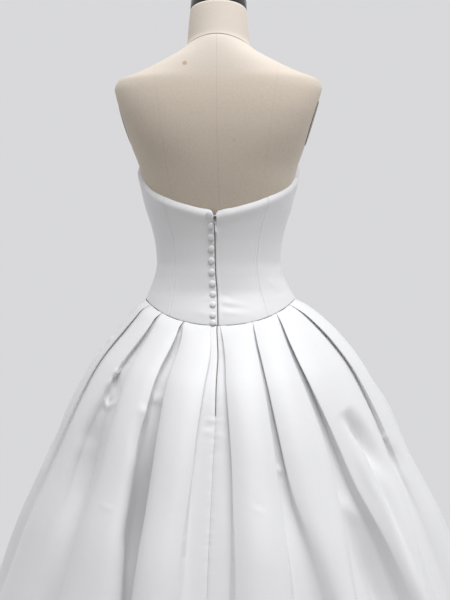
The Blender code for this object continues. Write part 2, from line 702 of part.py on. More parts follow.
def combine(piece, other, operation, cutters):
    """Join or cut a piece with another solid, kept in the cutters' collection."""
    cutters.objects.link(other)
    other.hide_render = True
    other.display_type = "WIRE"
    change = piece.modifiers.new(operation.lower(), "BOOLEAN")
    change.operation = operation
    change.object = other
    other.parent = piece


def pull_pivot():
    """The pull tab's axis, which runs along X through the slider's pin."""
    spot, outward, up = surface_frame(SLIDER_X, SLIDER_HEIGHT)
    return spot + outward * (GAP + SLIDER_SIZE[1] + PIVOT_OUT) - up * PULL_PIVOT_DROP


def make_slider(steel, place, cutters):
    """The slider on the zip: a plate, two ears below it and the pin between them."""
    spot, outward, up = surface_frame(SLIDER_X, SLIDER_HEIGHT)
    depth = SLIDER_SIZE[1]
    slider = make_box("zip_slider", SLIDER_SIZE, (0, -(GAP + depth / 2), 0))
    place.objects.link(slider)
    slider.data.materials.append(steel)
    reach = -(GAP + depth + PIVOT_OUT)
    ear_size = (0.0010, 0.0044, 0.0030)
    for side in (-1, 1):
        ear = make_box("ear_%d" % side, ear_size,
                       (side * EAR_X, reach + 0.0010, 0.0006 - PULL_PIVOT_DROP))
        combine(slider, ear, "UNION", cutters)
    pin = make_cylinder("pin", PIN_RADIUS, 2 * EAR_X, (0, reach, -PULL_PIVOT_DROP))
    combine(slider, pin, "UNION", cutters)
    slider.location = spot
    slider.rotation_euler = (math.atan2(outward.z, -outward.y) * -1, 0, 0)


def make_pull(enamel, place, cutters):
    """The pull tab: a barrel round the pin, and a drop-shaped plate that hangs from it."""
    edge = ((0.0008, -0.0006), (0.0009, -0.0040), (0.0014, -0.0080), (0.0023, -0.0120),
            (0.0027, -0.0150), (0.0020, -0.0175), (0.0008, -PULL_LENGTH))
    outline = list(edge) + [(-half, height) for half, height in edge[::-1]]
    rings = [[(x - PULL_SLANT * z, y, z) for x, z in outline]
             for y in (-PULL_THICKNESS / 2, PULL_THICKNESS / 2)]
    pull = loft("zip_pull", np.array(rings), enamel, place)
    barrel = make_cylinder("barrel", EYE_RADIUS, EYE_LENGTH, (0, 0, 0))
    combine(pull, barrel, "UNION", cutters)
    hole = make_cylinder("hole", EYE_HOLE_RADIUS, 4 * EYE_LENGTH, (0, 0, 0))
    combine(pull, hole, "DIFFERENCE", cutters)
    pull.location = pull_pivot()


def main():
    for old in list(bpy.data.objects):
        bpy.data.objects.remove(old)
    place = bpy.data.collections.new("ball_gown_on_dress_form")
    cutters = bpy.data.collections.new("cutters")
    for folder in (place, cutters):
        bpy.context.scene.collection.children.link(folder)
    satin = material("satin", SATIN, 0.35)
    linen = material("linen", LINEN, 0.85)
    black = material("black", BLACK, 0.25)
    steel = material("steel", STEEL, 0.35, 1.0)
    enamel = material("enamel", ENAMEL, 0.3)
    make_dress_form(linen, place)
    make_neck_cap(black, place)
    for side in (-1, 1):
        make_arm_plate(side, black, place)
    make_stand(steel, black, place)
    make_bodice(satin, place)
    make_skirt(satin, place)
    make_zip_tape(satin, place)
    make_buttons(satin, place)
    make_slider(steel, place, cutters)
    make_pull(enamel, place, cutters)


main()
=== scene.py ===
# %% [markdown]
# # A strapless ball gown on a dress form
#
# The gown is white duchess satin: a seamed bodice with a zip and covered buttons down the back, and
# a floor-length skirt in box pleats. It stands on a limbless dress form with a pole and a round
# base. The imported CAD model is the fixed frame, so every size below is in metres in its frame: the
# floor is z = 0, the pole is on the Z axis, the gown's back faces -Y and the wearer's right is +X.
# Angles run round the body from the centre back, positive towards +X.

import json
import math

import bmesh
import bpy
import numpy as np
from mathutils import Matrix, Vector


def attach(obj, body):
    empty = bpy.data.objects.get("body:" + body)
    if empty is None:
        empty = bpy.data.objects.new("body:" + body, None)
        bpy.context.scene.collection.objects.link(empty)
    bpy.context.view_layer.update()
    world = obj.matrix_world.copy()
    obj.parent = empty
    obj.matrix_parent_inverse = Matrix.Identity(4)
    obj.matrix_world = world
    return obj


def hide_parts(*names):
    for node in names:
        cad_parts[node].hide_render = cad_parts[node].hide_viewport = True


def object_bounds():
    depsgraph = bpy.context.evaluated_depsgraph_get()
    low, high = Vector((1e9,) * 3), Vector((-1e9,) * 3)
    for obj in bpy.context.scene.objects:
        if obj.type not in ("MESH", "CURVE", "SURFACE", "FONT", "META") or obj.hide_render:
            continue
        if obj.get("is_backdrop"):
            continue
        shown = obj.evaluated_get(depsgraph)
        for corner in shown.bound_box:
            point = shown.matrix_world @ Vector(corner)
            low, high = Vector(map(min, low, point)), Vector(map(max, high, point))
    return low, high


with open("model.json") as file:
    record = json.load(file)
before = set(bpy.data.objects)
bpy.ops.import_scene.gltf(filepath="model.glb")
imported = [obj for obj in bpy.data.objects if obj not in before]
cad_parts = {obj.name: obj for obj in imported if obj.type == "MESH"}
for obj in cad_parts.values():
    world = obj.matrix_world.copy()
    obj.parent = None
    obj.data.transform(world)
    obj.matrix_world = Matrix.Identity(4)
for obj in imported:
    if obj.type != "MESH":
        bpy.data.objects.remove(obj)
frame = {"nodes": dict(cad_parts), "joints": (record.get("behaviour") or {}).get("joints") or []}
cad_box = [list(corner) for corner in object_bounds()]
print("CAD box", cad_box, "with", len(frame["nodes"]), "nodes")

# %% [markdown]
# ## From a grid of points to a mesh
#
# Cloth, padding and metal are all made the same way here: a formula places every point of a grid
# at once, and the grid becomes quads. Blender could also sculpt or cut each piece from a box, but a
# formula keeps every size in the file, and a crease can be moved by changing one number. The UV map
# is in metres of cloth, so that a weave has the same scale on every piece. Four short formulas come
# first, because nearly every piece uses them.

# %% Short formulas
scene = bpy.context.scene


def full_turn(count):
    """Angles of one turn in equal steps, without the last one, which would be the first again."""
    return np.linspace(0, 2 * math.pi, count, endpoint=False)


def unit(vectors):
    """Vectors of length one in the same directions."""
    return vectors / np.maximum(np.linalg.norm(vectors, axis=-1, keepdims=True), 1e-12)


def bell(distance, width):
    """A Gaussian bell: 1 in its middle, 0.37 at the width and soon nothing."""
    return np.exp(-(distance / width) ** 2)


def smooth_step(share):
    """From 0 to 1, level at both ends."""
    return share * share * (3 - 2 * share)


# %% A mesh from a grid
def lengths_along(grid, axis):
    """Running length along the rows (axis 1) or columns (axis 0): the sum of the steps so far."""
    steps = np.linalg.norm(np.diff(grid, axis=axis), axis=-1)
    start = np.zeros_like(np.take(steps, [0], axis=axis))
    return np.cumsum(np.concatenate([start, steps], axis=axis), axis=axis)


def around_quads(values):
    """What a grid has at the four corners of each quad, in order round the quad."""
    return np.stack([values[:-1, :-1], values[:-1, 1:], values[1:, 1:], values[1:, :-1]], axis=2)


def cloth_map(grid):
    """UV map in metres: across from the middle column, and down from the first row."""
    across = lengths_along(grid, 1)
    middle = across[:, across.shape[1] // 2][:, None]
    return np.stack([across - middle, lengths_along(grid, 0)], axis=-1)


def set_out(name, data):
    """Put a new object into the scene."""
    thing = bpy.data.objects.new(name, data)
    scene.collection.objects.link(thing)
    return thing


def lay_surface(name, grid, wrap=False, closed_ends=False):
    """A mesh of quads between the neighbours of a grid, rows by columns.

    With wrap the last column joins the first. With closed_ends the first and last row are filled.
    """
    rows, columns = grid.shape[:2]
    index = np.arange(rows * columns).reshape(rows, columns)
    spread = grid
    if wrap:
        index = np.concatenate([index, index[:, :1]], axis=1)
        spread = np.concatenate([grid, grid[:, :1]], axis=1)
    uv = cloth_map(spread)
    faces = around_quads(index).reshape(-1, 4).tolist()
    loops = around_quads(uv).reshape(-1, 2)
    if closed_ends:
        faces += [index[0, :columns][::-1].tolist(), index[-1, :columns].tolist()]
        loops = np.concatenate([loops, uv[0, :columns][::-1], uv[-1, :columns]])
    mesh = bpy.data.meshes.new(name)
    mesh.from_pydata(grid.reshape(-1, 3).tolist(), [], faces)
    layer = mesh.uv_layers.new(name="cloth")
    layer.data.foreach_set("uv", loops.astype(np.float32).ravel())
    mesh.shade_smooth()
    return set_out(name, mesh)


def face_out(piece):
    """Merge doubled points and turn every face of a closed shell outwards."""
    shell = bmesh.new()
    shell.from_mesh(piece.data)
    bmesh.ops.remove_doubles(shell, verts=shell.verts, dist=1e-6)
    bmesh.ops.recalc_face_normals(shell, faces=shell.faces)
    shell.to_mesh(piece.data)
    shell.free()
    piece.data.shade_smooth()
    return piece


def outward(grid):
    """Unit normals of a grid, away from the Z axis: the cross product of its two directions."""
    normal = unit(np.cross(np.gradient(grid, axis=1), np.gradient(grid, axis=0)))
    return normal * np.sign(np.sum(normal[..., :2] * grid[..., :2]))


# %% [markdown]
# ## The dress form's shape
#
# A dress form is a padded torso. Its level sections are rounded squares, which a table gives at
# each height: half the width, the depth to the back and to the front, and how square the section
# is. Up to 1.2 m it is the plain solid's own table. Above that the back of the shoulders is a few
# millimetres fuller, the slope to the neck lies up to 10 mm lower, and the neck is slimmer and
# leans further forward. A smooth curve that never overshoots runs through the table, and a mean of
# its neighbours evens it out below the neck, as padding under stretched cloth does.

# %% Sections of the form
FORM_COLUMNS = ("height", "half_width", "back", "front", "squareness")
FORM_SECTIONS = (
    (0.800, 0.1600, 0.112, 0.112, 2.1),
    (0.870, 0.1660, 0.122, 0.115, 2.1),
    (0.950, 0.1490, 0.108, 0.108, 2.1),
    (1.000, 0.1345, 0.094, 0.102, 2.1),
    (1.023, 0.1262, 0.089, 0.100, 2.1),
    (1.048, 0.1195, 0.085, 0.098, 2.1),
    (1.073, 0.1160, 0.083, 0.098, 2.1),
    (1.102, 0.1184, 0.084, 0.100, 2.1),
    (1.141, 0.1255, 0.089, 0.107, 2.1),
    (1.183, 0.1372, 0.096, 0.120, 2.2),
    (1.214, 0.1443, 0.1040, 0.130, 2.2),
    (1.250, 0.1500, 0.1110, 0.132, 2.3),
    (1.288, 0.1640, 0.1155, 0.122, 2.6),
    (1.319, 0.1765, 0.1165, 0.110, 2.8),
    (1.365, 0.1930, 0.1121, 0.090, 2.8),
    (1.400, 0.1990, 0.1040, 0.074, 2.6),
    (1.419, 0.1920, 0.0980, 0.066, 2.5),
    (1.436, 0.1515, 0.0918, 0.062, 2.3),
    (1.454, 0.1100, 0.0843, 0.060, 2.2),
    (1.471, 0.0755, 0.076, 0.058, 2.1),
    (1.484, 0.0618, 0.0685, 0.056, 2.0),
    (1.492, 0.0598, 0.062, 0.054, 2.0),
    (1.510, 0.0585, 0.0550, 0.0555, 2.0),
    (1.535, 0.0562, 0.0470, 0.0605, 2.0),
    (1.562, 0.0528, 0.0385, 0.0660, 2.0),
)
BUST_HEIGHT = 1.235
BUST_RISE = 0.014                    # how far each cup stands out of the chest
BUST_ANGLE = math.radians(150)
BUST_SPREAD = (0.33, 0.055)          # how far a cup spreads, in angle and in height
ARM_PLANE_FOOT = (1.288, 0.1625)     # height and half width where the flat armhole side starts
ARM_PLANE_SLOPE = 0.309              # it leans out by this much for each metre up
EVEN_OUT = 0.022                     # heights up to this far away are evened out
EVEN_STEPS = (-1, -0.667, -0.333, 0, 0.333, 0.667, 1)
EVEN_WEIGHTS = (0.06, 0.14, 0.19, 0.22, 0.19, 0.14, 0.06)
EVEN_FADE = 0.05                     # over this height it fades out, up to the neck's root
NECK_ROOT = 1.455
FAR = 1.0                            # metres: beyond any seam or edge of the piece


def column(rows, names, name):
    """One named column of a table, as an array."""
    return np.array([row[names.index(name)] for row in rows], float)


def smooth(xs, ys, at):
    """Cubic curve through the points (xs, ys) that never overshoots one.

    The slope at a point is the harmonic mean of the slopes on its two sides, and zero at a turn.
    """
    xs, ys, at = np.asarray(xs, float), np.asarray(ys, float), np.asarray(at, float)
    steps = np.diff(xs)
    slopes = np.diff(ys) / steps
    product = slopes[:-1] * slopes[1:]
    total = slopes[:-1] + slopes[1:]
    inner = np.where(product > 0, 2 * product / np.where(product > 0, total, 1.0), 0.0)
    tangents = np.concatenate([slopes[:1], inner, slopes[-1:]])
    at = np.clip(at, xs[0], xs[-1])
    i = np.clip(np.searchsorted(xs, at, side="right") - 1, 0, len(steps) - 1)
    f = (at - xs[i]) / steps[i]
    start = (1 + 2 * f) * (1 - f) ** 2 * ys[i] + f * (1 - f) ** 2 * steps[i] * tangents[i]
    end = f * f * (3 - 2 * f) * ys[i + 1] + f * f * (f - 1) * steps[i] * tangents[i + 1]
    return start + end


def look_up(rows, names, name, at):
    """A column of a table at any value of the table's first column."""
    return smooth(column(rows, names, names[0]), column(rows, names, name), at)


def form_column(name, height):
    """A size of the dress form's section at a height. Depths are a mean of the curve at seven heights
    close by, which draw together towards the neck; the outline's width keeps its corners."""
    height = np.asarray(height, float)
    reach = EVEN_OUT * np.clip((NECK_ROOT - height) / EVEN_FADE, 0, 1) * (name != "half_width")
    return sum(weight * look_up(FORM_SECTIONS, FORM_COLUMNS, name, height + step * reach)
               for step, weight in zip(EVEN_STEPS, EVEN_WEIGHTS))


def soft_power(value, power):
    """The size of a number raised to a power, with the number's sign."""
    return np.sign(value) * np.abs(value) ** power


def turned_away(angle):
    """How far an angle is from the centre back, from 0 to half a turn."""
    return np.abs(np.mod(angle + math.pi, 2 * math.pi) - math.pi)


def form_point(angle, height, out=0.0):
    """The form's skin moved out by out: x and y are powers of the sine and cosine, which makes a
    rounded square, plus a bell-shaped cup on each side of the front and a flat armhole side."""
    angle, height = np.broadcast_arrays(np.asarray(angle, float), np.asarray(height, float))
    power = 2 / form_column("squareness", height)
    sine, cosine = np.sin(angle), np.cos(angle)
    away = turned_away(angle)
    cup = bell(away - BUST_ANGLE, BUST_SPREAD[0]) * bell(height - BUST_HEIGHT, BUST_SPREAD[1])
    front = form_column("front", height) + BUST_RISE * cup
    depth = np.where(cosine > 0, form_column("back", height), front)
    x = (form_column("half_width", height) + out) * soft_power(sine, power)
    y = -(depth + out) * soft_power(cosine, power)
    side = ARM_PLANE_FOOT[1] + (height - ARM_PLANE_FOOT[0]) * ARM_PLANE_SLOPE + out
    limit = np.where(height > BUST_HEIGHT, side, FAR)
    return np.stack([np.clip(x, -limit, limit), y, height], axis=-1)


print("waist of the form", round(2 * float(form_column("half_width", 1.073)), 3), "m wide")

# %% [markdown]
# ## The form's linen cover
#
# The real form is covered in beige linen, cut in panels that are sewn together at the centre back,
# the princess lines, the sides and the base of the neck. The seams could be cut into the mesh, but
# they are under a millimetre deep. Here each point carries its distance from the seams as an
# attribute, and the material sinks a fine line there. The cover's rings are level on the torso and
# tilt along the neck, because the neck leans forward.

# %% Linen cover
FORM_BOTTOM = 0.800
NECK_HEIGHT = 1.553         # the neck's tilted top at its centre
NECK_TILT = 0.390           # slope of that top, high at the back
NECK_BASE = 1.489           # height of the neck's seam at the centre back, before the rings tilt
NECK_BEND = (1.425, 0.060)  # height where the rings start to tilt, and how far up the first half goes
NECK_SEAM_DIP = 0.0125      # the neck's seam is this much lower at the sides
PRINCESS_TOP = 1.457        # the princess seams end near the neck,
SIDE_SEAM_TOP = 1.285       # and the side seams at the armholes
COVER_ROWS = 220
COVER_COLUMNS = 200

# height, distance of the back princess seam from the centre back, and of the front one from the
# centre front
SEAM_COLUMNS = ("height", "back", "front")
FORM_SEAMS = (
    (0.800, 0.080, 0.082),
    (0.950, 0.070, 0.074),
    (1.073, 0.056, 0.062),
    (1.150, 0.072, 0.068),
    (1.235, 0.090, 0.078),
    (1.345, 0.104, 0.086),
    (1.435, 0.116, 0.096),
    (1.458, 0.119, 0.100),
)

# height and x of the centre back seam: the cover was pulled a little to +X as it was put on
CENTRE_COLUMNS = ("height", "x")
CENTRE_SEAM = (
    (0.950, 0.0064),
    (1.166, 0.0062),
    (1.250, 0.0050),
    (1.320, 0.0028),
    (1.410, 0.0018),
    (1.492, 0.0000),
)


def tilt_neck(grid, height):
    """Slide points down the further forward they are: half the tilt starts at the neck's root, and
    the other half comes in evenly along the neck."""
    lean = np.clip((height - NECK_BASE) / (NECK_HEIGHT - NECK_BASE), 0, 1)
    root = smooth_step(np.clip((height - NECK_BEND[0]) / NECK_BEND[1], 0, 1))
    grid[..., 2] -= 0.5 * NECK_TILT * (root + lean) * grid[..., 1]
    return grid


def seam_distance(angle, height, name):
    """Signed distance from a princess seam, measured on x: how far the point's x is outside it."""
    return np.abs(form_point(angle, height)[..., 0]) - look_up(FORM_SEAMS, SEAM_COLUMNS, name, height)


def point_attribute(piece, name, values):
    """Store one number for each point of a piece's mesh."""
    layer = piece.data.attributes.new(name, "FLOAT", "POINT")
    layer.data.foreach_set("value", np.asarray(values, np.float32).ravel())


cover_heights = np.linspace(FORM_BOTTOM, NECK_HEIGHT, COVER_ROWS)[:, None]
cover_angles = full_turn(COVER_COLUMNS)[None, :]
cover_grid = tilt_neck(form_point(cover_angles, cover_heights), cover_heights)
form_cover = lay_surface("form_cover", cover_grid, wrap=True, closed_ends=True)
back_half = np.cos(cover_angles) + 0 * cover_heights > 0
princess = np.where(back_half, seam_distance(cover_angles, cover_heights, "back"),
                    seam_distance(cover_angles, cover_heights, "front"))
middle = cover_grid[..., 0] - look_up(CENTRE_SEAM, CENTRE_COLUMNS, "x", cover_heights)
middle = np.where(back_half, middle, cover_grid[..., 0])
for seam, distance, top in (("princess_seam", princess, PRINCESS_TOP), ("middle_seam", middle, NECK_BASE),
                            ("side_seam", cover_grid[..., 1], SIDE_SEAM_TOP)):
    point_attribute(form_cover, seam, np.where(cover_heights < top, distance, FAR))
neck_distance = cover_heights - NECK_BASE + NECK_SEAM_DIP * np.sin(cover_angles) ** 2
point_attribute(form_cover, "neck_seam", neck_distance)
print("linen cover:", len(form_cover.data.polygons), "faces")

# %% [markdown]
# ## Neck cap and arm plates
#
# A gloss cap closes the neck, and an oval plate closes each armhole. Both are moulded or stamped
# pieces with rounded rims. A Bevel modifier could round the plain solids, but their rims follow
# curved outlines, so each piece is a short list of profile steps carried round its own outline.

# %% Neck cap
FIT_GAP = 0.0003            # a hair of space between two hard pieces that touch
CAP_COLUMNS = 120
CAP_FOOT = ((-0.0400, FIT_GAP), (-0.0006, FIT_GAP), (0.0, 0.0010), (0.0, 0.0090))   # steps out and up
CAP_SIDE = 0.0175           # height where the side turns into the shoulder
CAP_SHOULDER = (0.0045, 0.0055)     # how far the shoulder goes in and up
CAP_DOME = ((0.85, 0.0245), (0.65, 0.0257), (0.4, 0.0264), (0.15, 0.0267), (0.0, 0.0268))


def neck_ring(out, rise, columns):
    """Ring of the neck's tilted top, moved out, and moved up along the neck's own axis."""
    ring = form_point(full_turn(columns), np.full(columns, NECK_HEIGHT), out)
    ring[..., 2] -= NECK_TILT * ring[..., 1]
    axis = np.array((0, NECK_TILT, 1)) / math.hypot(NECK_TILT, 1)
    return ring + rise * axis


cap_shoulder = [(-CAP_SHOULDER[0] * (1 - math.cos(t)), CAP_SIDE + CAP_SHOULDER[1] * math.sin(t))
                for t in np.linspace(0, math.pi / 2, 8)]
rings = [neck_ring(out, rise, CAP_COLUMNS) for out, rise in list(CAP_FOOT) + cap_shoulder]
for scale, rise in CAP_DOME:
    rim = neck_ring(-CAP_SHOULDER[0], rise, CAP_COLUMNS)
    rings.append(rim.mean(axis=0) + (rim - rim.mean(axis=0)) * scale)
cap = face_out(lay_surface("gloss_neck_cap", np.stack(rings), wrap=True, closed_ends=True))
print("neck cap", [round(s, 4) for s in cap.dimensions])

# %% Arm plates
PLATE_HEIGHT = 1.338
PLATE_HALF_DEPTH = 0.040
PLATE_HALF_HEIGHT = 0.042
PLATE_THICKNESS = 0.0016
PLATE_STRETCH = 1.05        # the armhole side slants, so a thickness is this much longer along x
PLATE_RIM = ((0.0, 0.0), (0.6, 0.0), (0.985, 0.0), (1.0, 0.15), (1.0, 0.55), (0.99, 0.85),
             (0.97, 1.0), (0.93, 1.04), (0.90, 1.0), (0.75, 1.03), (0.5, 1.07), (0.25, 1.1), (0.0, 1.1))


def lay_arm_plate(side):
    """An oval plate on the flat armhole side: rim steps of (share of the oval, share of the
    thickness) carried round the oval, with a shallow groove inside the rim."""
    around = full_turn(96)[None, :]
    share, thick = np.array(PLATE_RIM).T[..., None]
    out = FIT_GAP + PLATE_THICKNESS * thick
    y = PLATE_HALF_DEPTH * share * np.cos(around)
    z = PLATE_HEIGHT + PLATE_HALF_HEIGHT * share * np.sin(around)
    x = ARM_PLANE_FOOT[1] + (z - ARM_PLANE_FOOT[0]) * ARM_PLANE_SLOPE + out * PLATE_STRETCH
    name = "stamped_arm_plate_" + ("right" if side > 0 else "left")
    return face_out(lay_surface(name, np.stack([side * x, y, z], axis=-1), wrap=True))


arm_plates = {side: lay_arm_plate(side) for side in (-1, 1)}
print("arm plates", [len(plate.data.polygons) for plate in arm_plates.values()], "faces")

# %% [markdown]
# ## The bodice's shape
#
# The bodice is close to the form from the waist up, leaves a little more room over the hips, and
# ends in a top edge that is low at the back and rises to the cups. The dropped waist seam dips at
# the centre back and front. So a point of the bodice is the form's point moved out by the room at
# that height, and two more curves say where the cloth starts and ends.

# %% Room, top edge and waist seam
EASE_COLUMNS = ("height", "room")
EASE_SECTIONS = (
    (0.940, 0.0150),
    (1.000, 0.0100),
    (1.023, 0.0065),
    (1.048, 0.0030),
    (1.073, 0.0016),
    (1.110, 0.0016),
    (1.180, 0.0040),
    (1.280, 0.0040),
)
TOP_COLUMNS = ("angle", "height")
TOP_EDGE = (
    (0.0, 1.1690),
    (10.0, 1.1715),
    (20.0, 1.1775),
    (30.0, 1.1840),
    (43.0, 1.1945),
    (55.0, 1.2055),
    (66.0, 1.2190),
    (78.0, 1.2370),
    (90.0, 1.2520),
    (105.0, 1.2640),
    (125.0, 1.2700),
    (150.0, 1.2740),
    (170.0, 1.2640),
    (180.0, 1.2600),
)
CENTRE_ROOM = 0.0024        # more room at the centre back and front than at the sides
BACK_HOLLOW = 0.0058        # the back stays close to the body here, and flares out below
BACK_HOLLOW_HEIGHT = 1.010
BACK_HOLLOW_SPREAD = 0.028
TOP_STAND_OFF = 0.0085      # the free top edge stands this far off the form at sides and front
TOP_STAND_DROP = 0.05       # it comes in over this height below the edge
TOP_STAND_START = 0.3       # and from where the cosine of the angle is this
RIGHT_WING = math.radians(84)
RIGHT_WING_SPREAD = math.radians(20)
RIGHT_WING_DIP = 0.012
CORNER_DIP = 0.0032         # the two corners beside the zip are rounded
CORNER_SPREAD = 0.075
SEAM_SIDE_HEIGHT = 1.003
SEAM_BACK_DIP = 0.048
SEAM_FRONT_DIP = 0.055
LINE_COLUMNS = ("height", "x")
LEAN_LINE = (               # below the waist the bodice hangs a little towards +X
    (0.945, 0.0065),
    (0.970, 0.0062),
    (1.000, 0.0045),
    (1.023, 0.0025),
    (1.048, 0.0008),
    (1.073, 0.0000),
)


def seam_height(angle):
    """Height of the waist seam: it dips with the square of the cosine, to a point at the centre."""
    cosine = np.cos(angle)
    dip = np.where(cosine > 0, SEAM_BACK_DIP, SEAM_FRONT_DIP)
    return SEAM_SIDE_HEIGHT - dip * cosine ** 2


def top_height(angle):
    """Height of the bodice's top edge, with the right wing a little lower than the left one."""
    turned = np.mod(angle + math.pi, 2 * math.pi) - math.pi
    angles = np.radians(column(TOP_EDGE, TOP_COLUMNS, "angle"))
    dip = RIGHT_WING_DIP * bell(turned - RIGHT_WING, RIGHT_WING_SPREAD)
    dip = dip + CORNER_DIP * bell(turned, CORNER_SPREAD)
    return smooth(angles, column(TOP_EDGE, TOP_COLUMNS, "height"), np.abs(turned)) - dip


def line_x(line, height):
    """X at a height on one of the lines down the back."""
    return look_up(line, LINE_COLUMNS, "x", height)


def bodice_point(angle, height, out=0.0):
    """Middle of the bodice's wall: the form's skin moved out by the room at its height, by more at
    the centre back and front, and by the stand-off near the free top edge, then shifted sideways by
    the lean."""
    angle, height = np.broadcast_arrays(np.asarray(angle, float), np.asarray(height, float))
    room = look_up(EASE_SECTIONS, EASE_COLUMNS, "room", height)
    rise = np.clip(1 - (top_height(angle) - height) / TOP_STAND_DROP, 0, 1)
    stand = TOP_STAND_OFF * rise ** 2 * np.clip(TOP_STAND_START - np.cos(angle), 0, 1)
    hollow = BACK_HOLLOW * bell(height - BACK_HOLLOW_HEIGHT, BACK_HOLLOW_SPREAD)
    room = room + CENTRE_ROOM * np.cos(angle) ** 2 - hollow * np.clip(np.cos(angle), 0, 1) ** 2
    point = form_point(angle, height, room + stand + out)
    point[..., 0] += line_x(LEAN_LINE, height)
    return point


def back_angle(x, height):
    """Angle at which the bodice's back has the given x: the section's formula turned round."""
    shift = line_x(LEAN_LINE, height)
    half = bodice_point(math.pi / 2, height)[..., 0] - shift
    power = form_column("squareness", height) / 2
    return np.arcsin(soft_power(np.clip((x - shift) / half, -1, 1), power))


print("centre back of the bodice is", round(float(top_height(0.0) - seam_height(0.0)), 3), "m high")

# %% [markdown]
# ## Creases
#
# Stiff satin doesn't fall quite smooth: it pulls into short soft ridges and troughs where a seam
# draws it in or a fold opens. A cloth simulation makes such creases anywhere it likes. Here each
# one is placed as a line on the cloth with a width and a depth, because where they lie is
# what makes this gown look as it does. A crease fades out at both ends.

# %% Ridges and troughs along a line
def nearest_on_line(points, line):
    """Distance of every point from a line of straight stretches, and the share along it of the
    nearest place: the foot of the perpendicular on each stretch, kept between its two ends."""
    best = np.full(points.shape[:-1], np.inf)
    share = np.zeros_like(best)
    for number, (start, end) in enumerate(zip(line[:-1], line[1:])):
        along = np.clip(((points - start) @ (end - start)) / np.sum((end - start) ** 2), 0, 1)
        foot = start + along[..., None] * (end - start)
        distance = np.linalg.norm(points - foot, axis=-1)
        closer = distance < best
        best = np.where(closer, distance, best)
        share = np.where(closer, (number + along) / (len(line) - 1), share)
    return best, share


def crease(points, line, width, depth, peak=0.5):
    """Height of one crease: a bell across the line, times a rise and fall along it that is highest
    a share peak of the way and dies away softly. A ridge has a positive depth and a trough a
    negative one."""
    distance, share = nearest_on_line(points, line)
    rise = np.sin(math.pi * share ** (math.log(0.5) / math.log(peak))) ** 2
    return depth * bell(distance, width) * rise


# %% [markdown]
# ## Cloth walls
#
# A panel is one sheet, so its grid is the middle of the cloth, and the Solidify modifier gives it
# its thickness on both sides. A small Bevel rounds the raw edge, as the turn of a folded edge does.
# Where two panels are sewn together each one dips into the seam, and a hair of space stays between
# them. Solidify also gives the inner side a material of its own: a lining in the bodice, while the
# skirt is satin on both sides.

# %% A panel of cloth
BODICE_WALL = 0.0012
SKIRT_WALL = 0.0011
SEAM_GAP = 0.0003           # between two pieces that are sewn together
FOLD_ROUND = 0.35           # how much of the wall a folded edge rounds away


def part_sides(grid, half_gap):
    """Draw the first and last column in, by half the gap at the seam."""
    grid = grid.copy()
    for side, inner in ((0, 1), (-1, -2)):
        grid[:, side] += unit(grid[:, inner] - grid[:, side]) * np.reshape(half_gap, (-1, 1))
    return grid


def lay_cloth(name, grid, wall):
    """A panel with a wall: its right side faces away from the body."""
    normal = np.cross(np.gradient(grid, axis=1), np.gradient(grid, axis=0))
    if np.sum(normal[..., :2] * grid[..., :2]) < 0:
        grid = grid[:, ::-1]
    piece = lay_surface(name, grid)
    thick = piece.modifiers.new("wall", "SOLIDIFY")
    thick.thickness = wall
    thick.offset = 0.0
    thick.material_offset = 1
    thick.material_offset_rim = 0
    turned = piece.modifiers.new("folded_edge", "BEVEL")
    turned.width = FOLD_ROUND * wall
    turned.segments = 2
    turned.limit_method = "ANGLE"
    turned.angle_limit = math.radians(80)
    return piece


def edge_distance(grid):
    """How far each point is from the nearer side edge of its panel, along the cloth."""
    across = lengths_along(grid, 1)
    return np.minimum(across, across[:, -1:] - across)


def flat_area(grid):
    """Area of a grid: the sum of its quads, each half the cross product of its diagonals."""
    first = grid[1:, 1:] - grid[:-1, :-1]
    second = grid[1:, :-1] - grid[:-1, 1:]
    return 0.5 * float(np.linalg.norm(np.cross(first, second), axis=-1).sum())


def cut_sizes(grid):
    """A panel's greatest width, its length and its area, measured along the cloth."""
    return lengths_along(grid, 1).max(), lengths_along(grid, 0).max(), flat_area(grid)


# %% [markdown]
# ## Bodice panels
#
# Seven panels are joined by princess seams and side seams. The seams are the panels' own edges. The
# zip lies between the two centre back panels, whose top corners fold apart. Under the top edge the
# facing makes a soft roll, and a few drag lines run from the zip where the waist is tightest.

# %% Panel outlines
PRINCESS_BACK = math.radians(42)
SIDE_SEAM = math.radians(90)
PRINCESS_FRONT = math.radians(140)
CENTRE_FRONT = math.radians(180)
ZIP_OPENING = 0.0011        # half the slot that the zip closes
NOTCH_BOTTOM = 1.1565       # above it the two top corners fold apart
NOTCH_SPREAD = (0.0024, 0.0042)     # how wide it opens evenly, and how wide in a round corner
BODICE_ROWS = 112
BODICE_COLUMNS = 44
SLOT_LINE = (
    (0.950, 0.0056),
    (1.014, 0.0025),
    (1.057, -0.0009),
    (1.095, -0.0018),
    (1.140, -0.0023),
    (1.170, -0.0025),
)
PRINCESS_RIGHT = math.radians(1.8)       # the right seam lies this much nearer the slot
PRINCESS_COLUMNS = ("height", "angle")
PRINCESS_LINE = (
    (0.950, 35.2),
    (0.965, 35.5),
    (1.020, 37.2),
    (1.073, 39.4),
    (1.130, 40.6),
    (1.195, 42.8),
)


def centre_back_x(side, height):
    """X of a centre back panel's edge: the slot's middle, and half the zip's slot or of the notch
    over it."""
    up = np.clip((height - NOTCH_BOTTOM) / (top_height(0.0) - NOTCH_BOTTOM), 0, 1)
    half = ZIP_OPENING + NOTCH_SPREAD[0] * up + NOTCH_SPREAD[1] * (1 - np.sqrt(1 - up ** 2))
    return line_x(SLOT_LINE, height) + side * half


def bodice_height(angle, share):
    """Height a share of the way up the bodice."""
    low = seam_height(angle) + SEAM_GAP
    return low + (top_height(angle) - low) * share


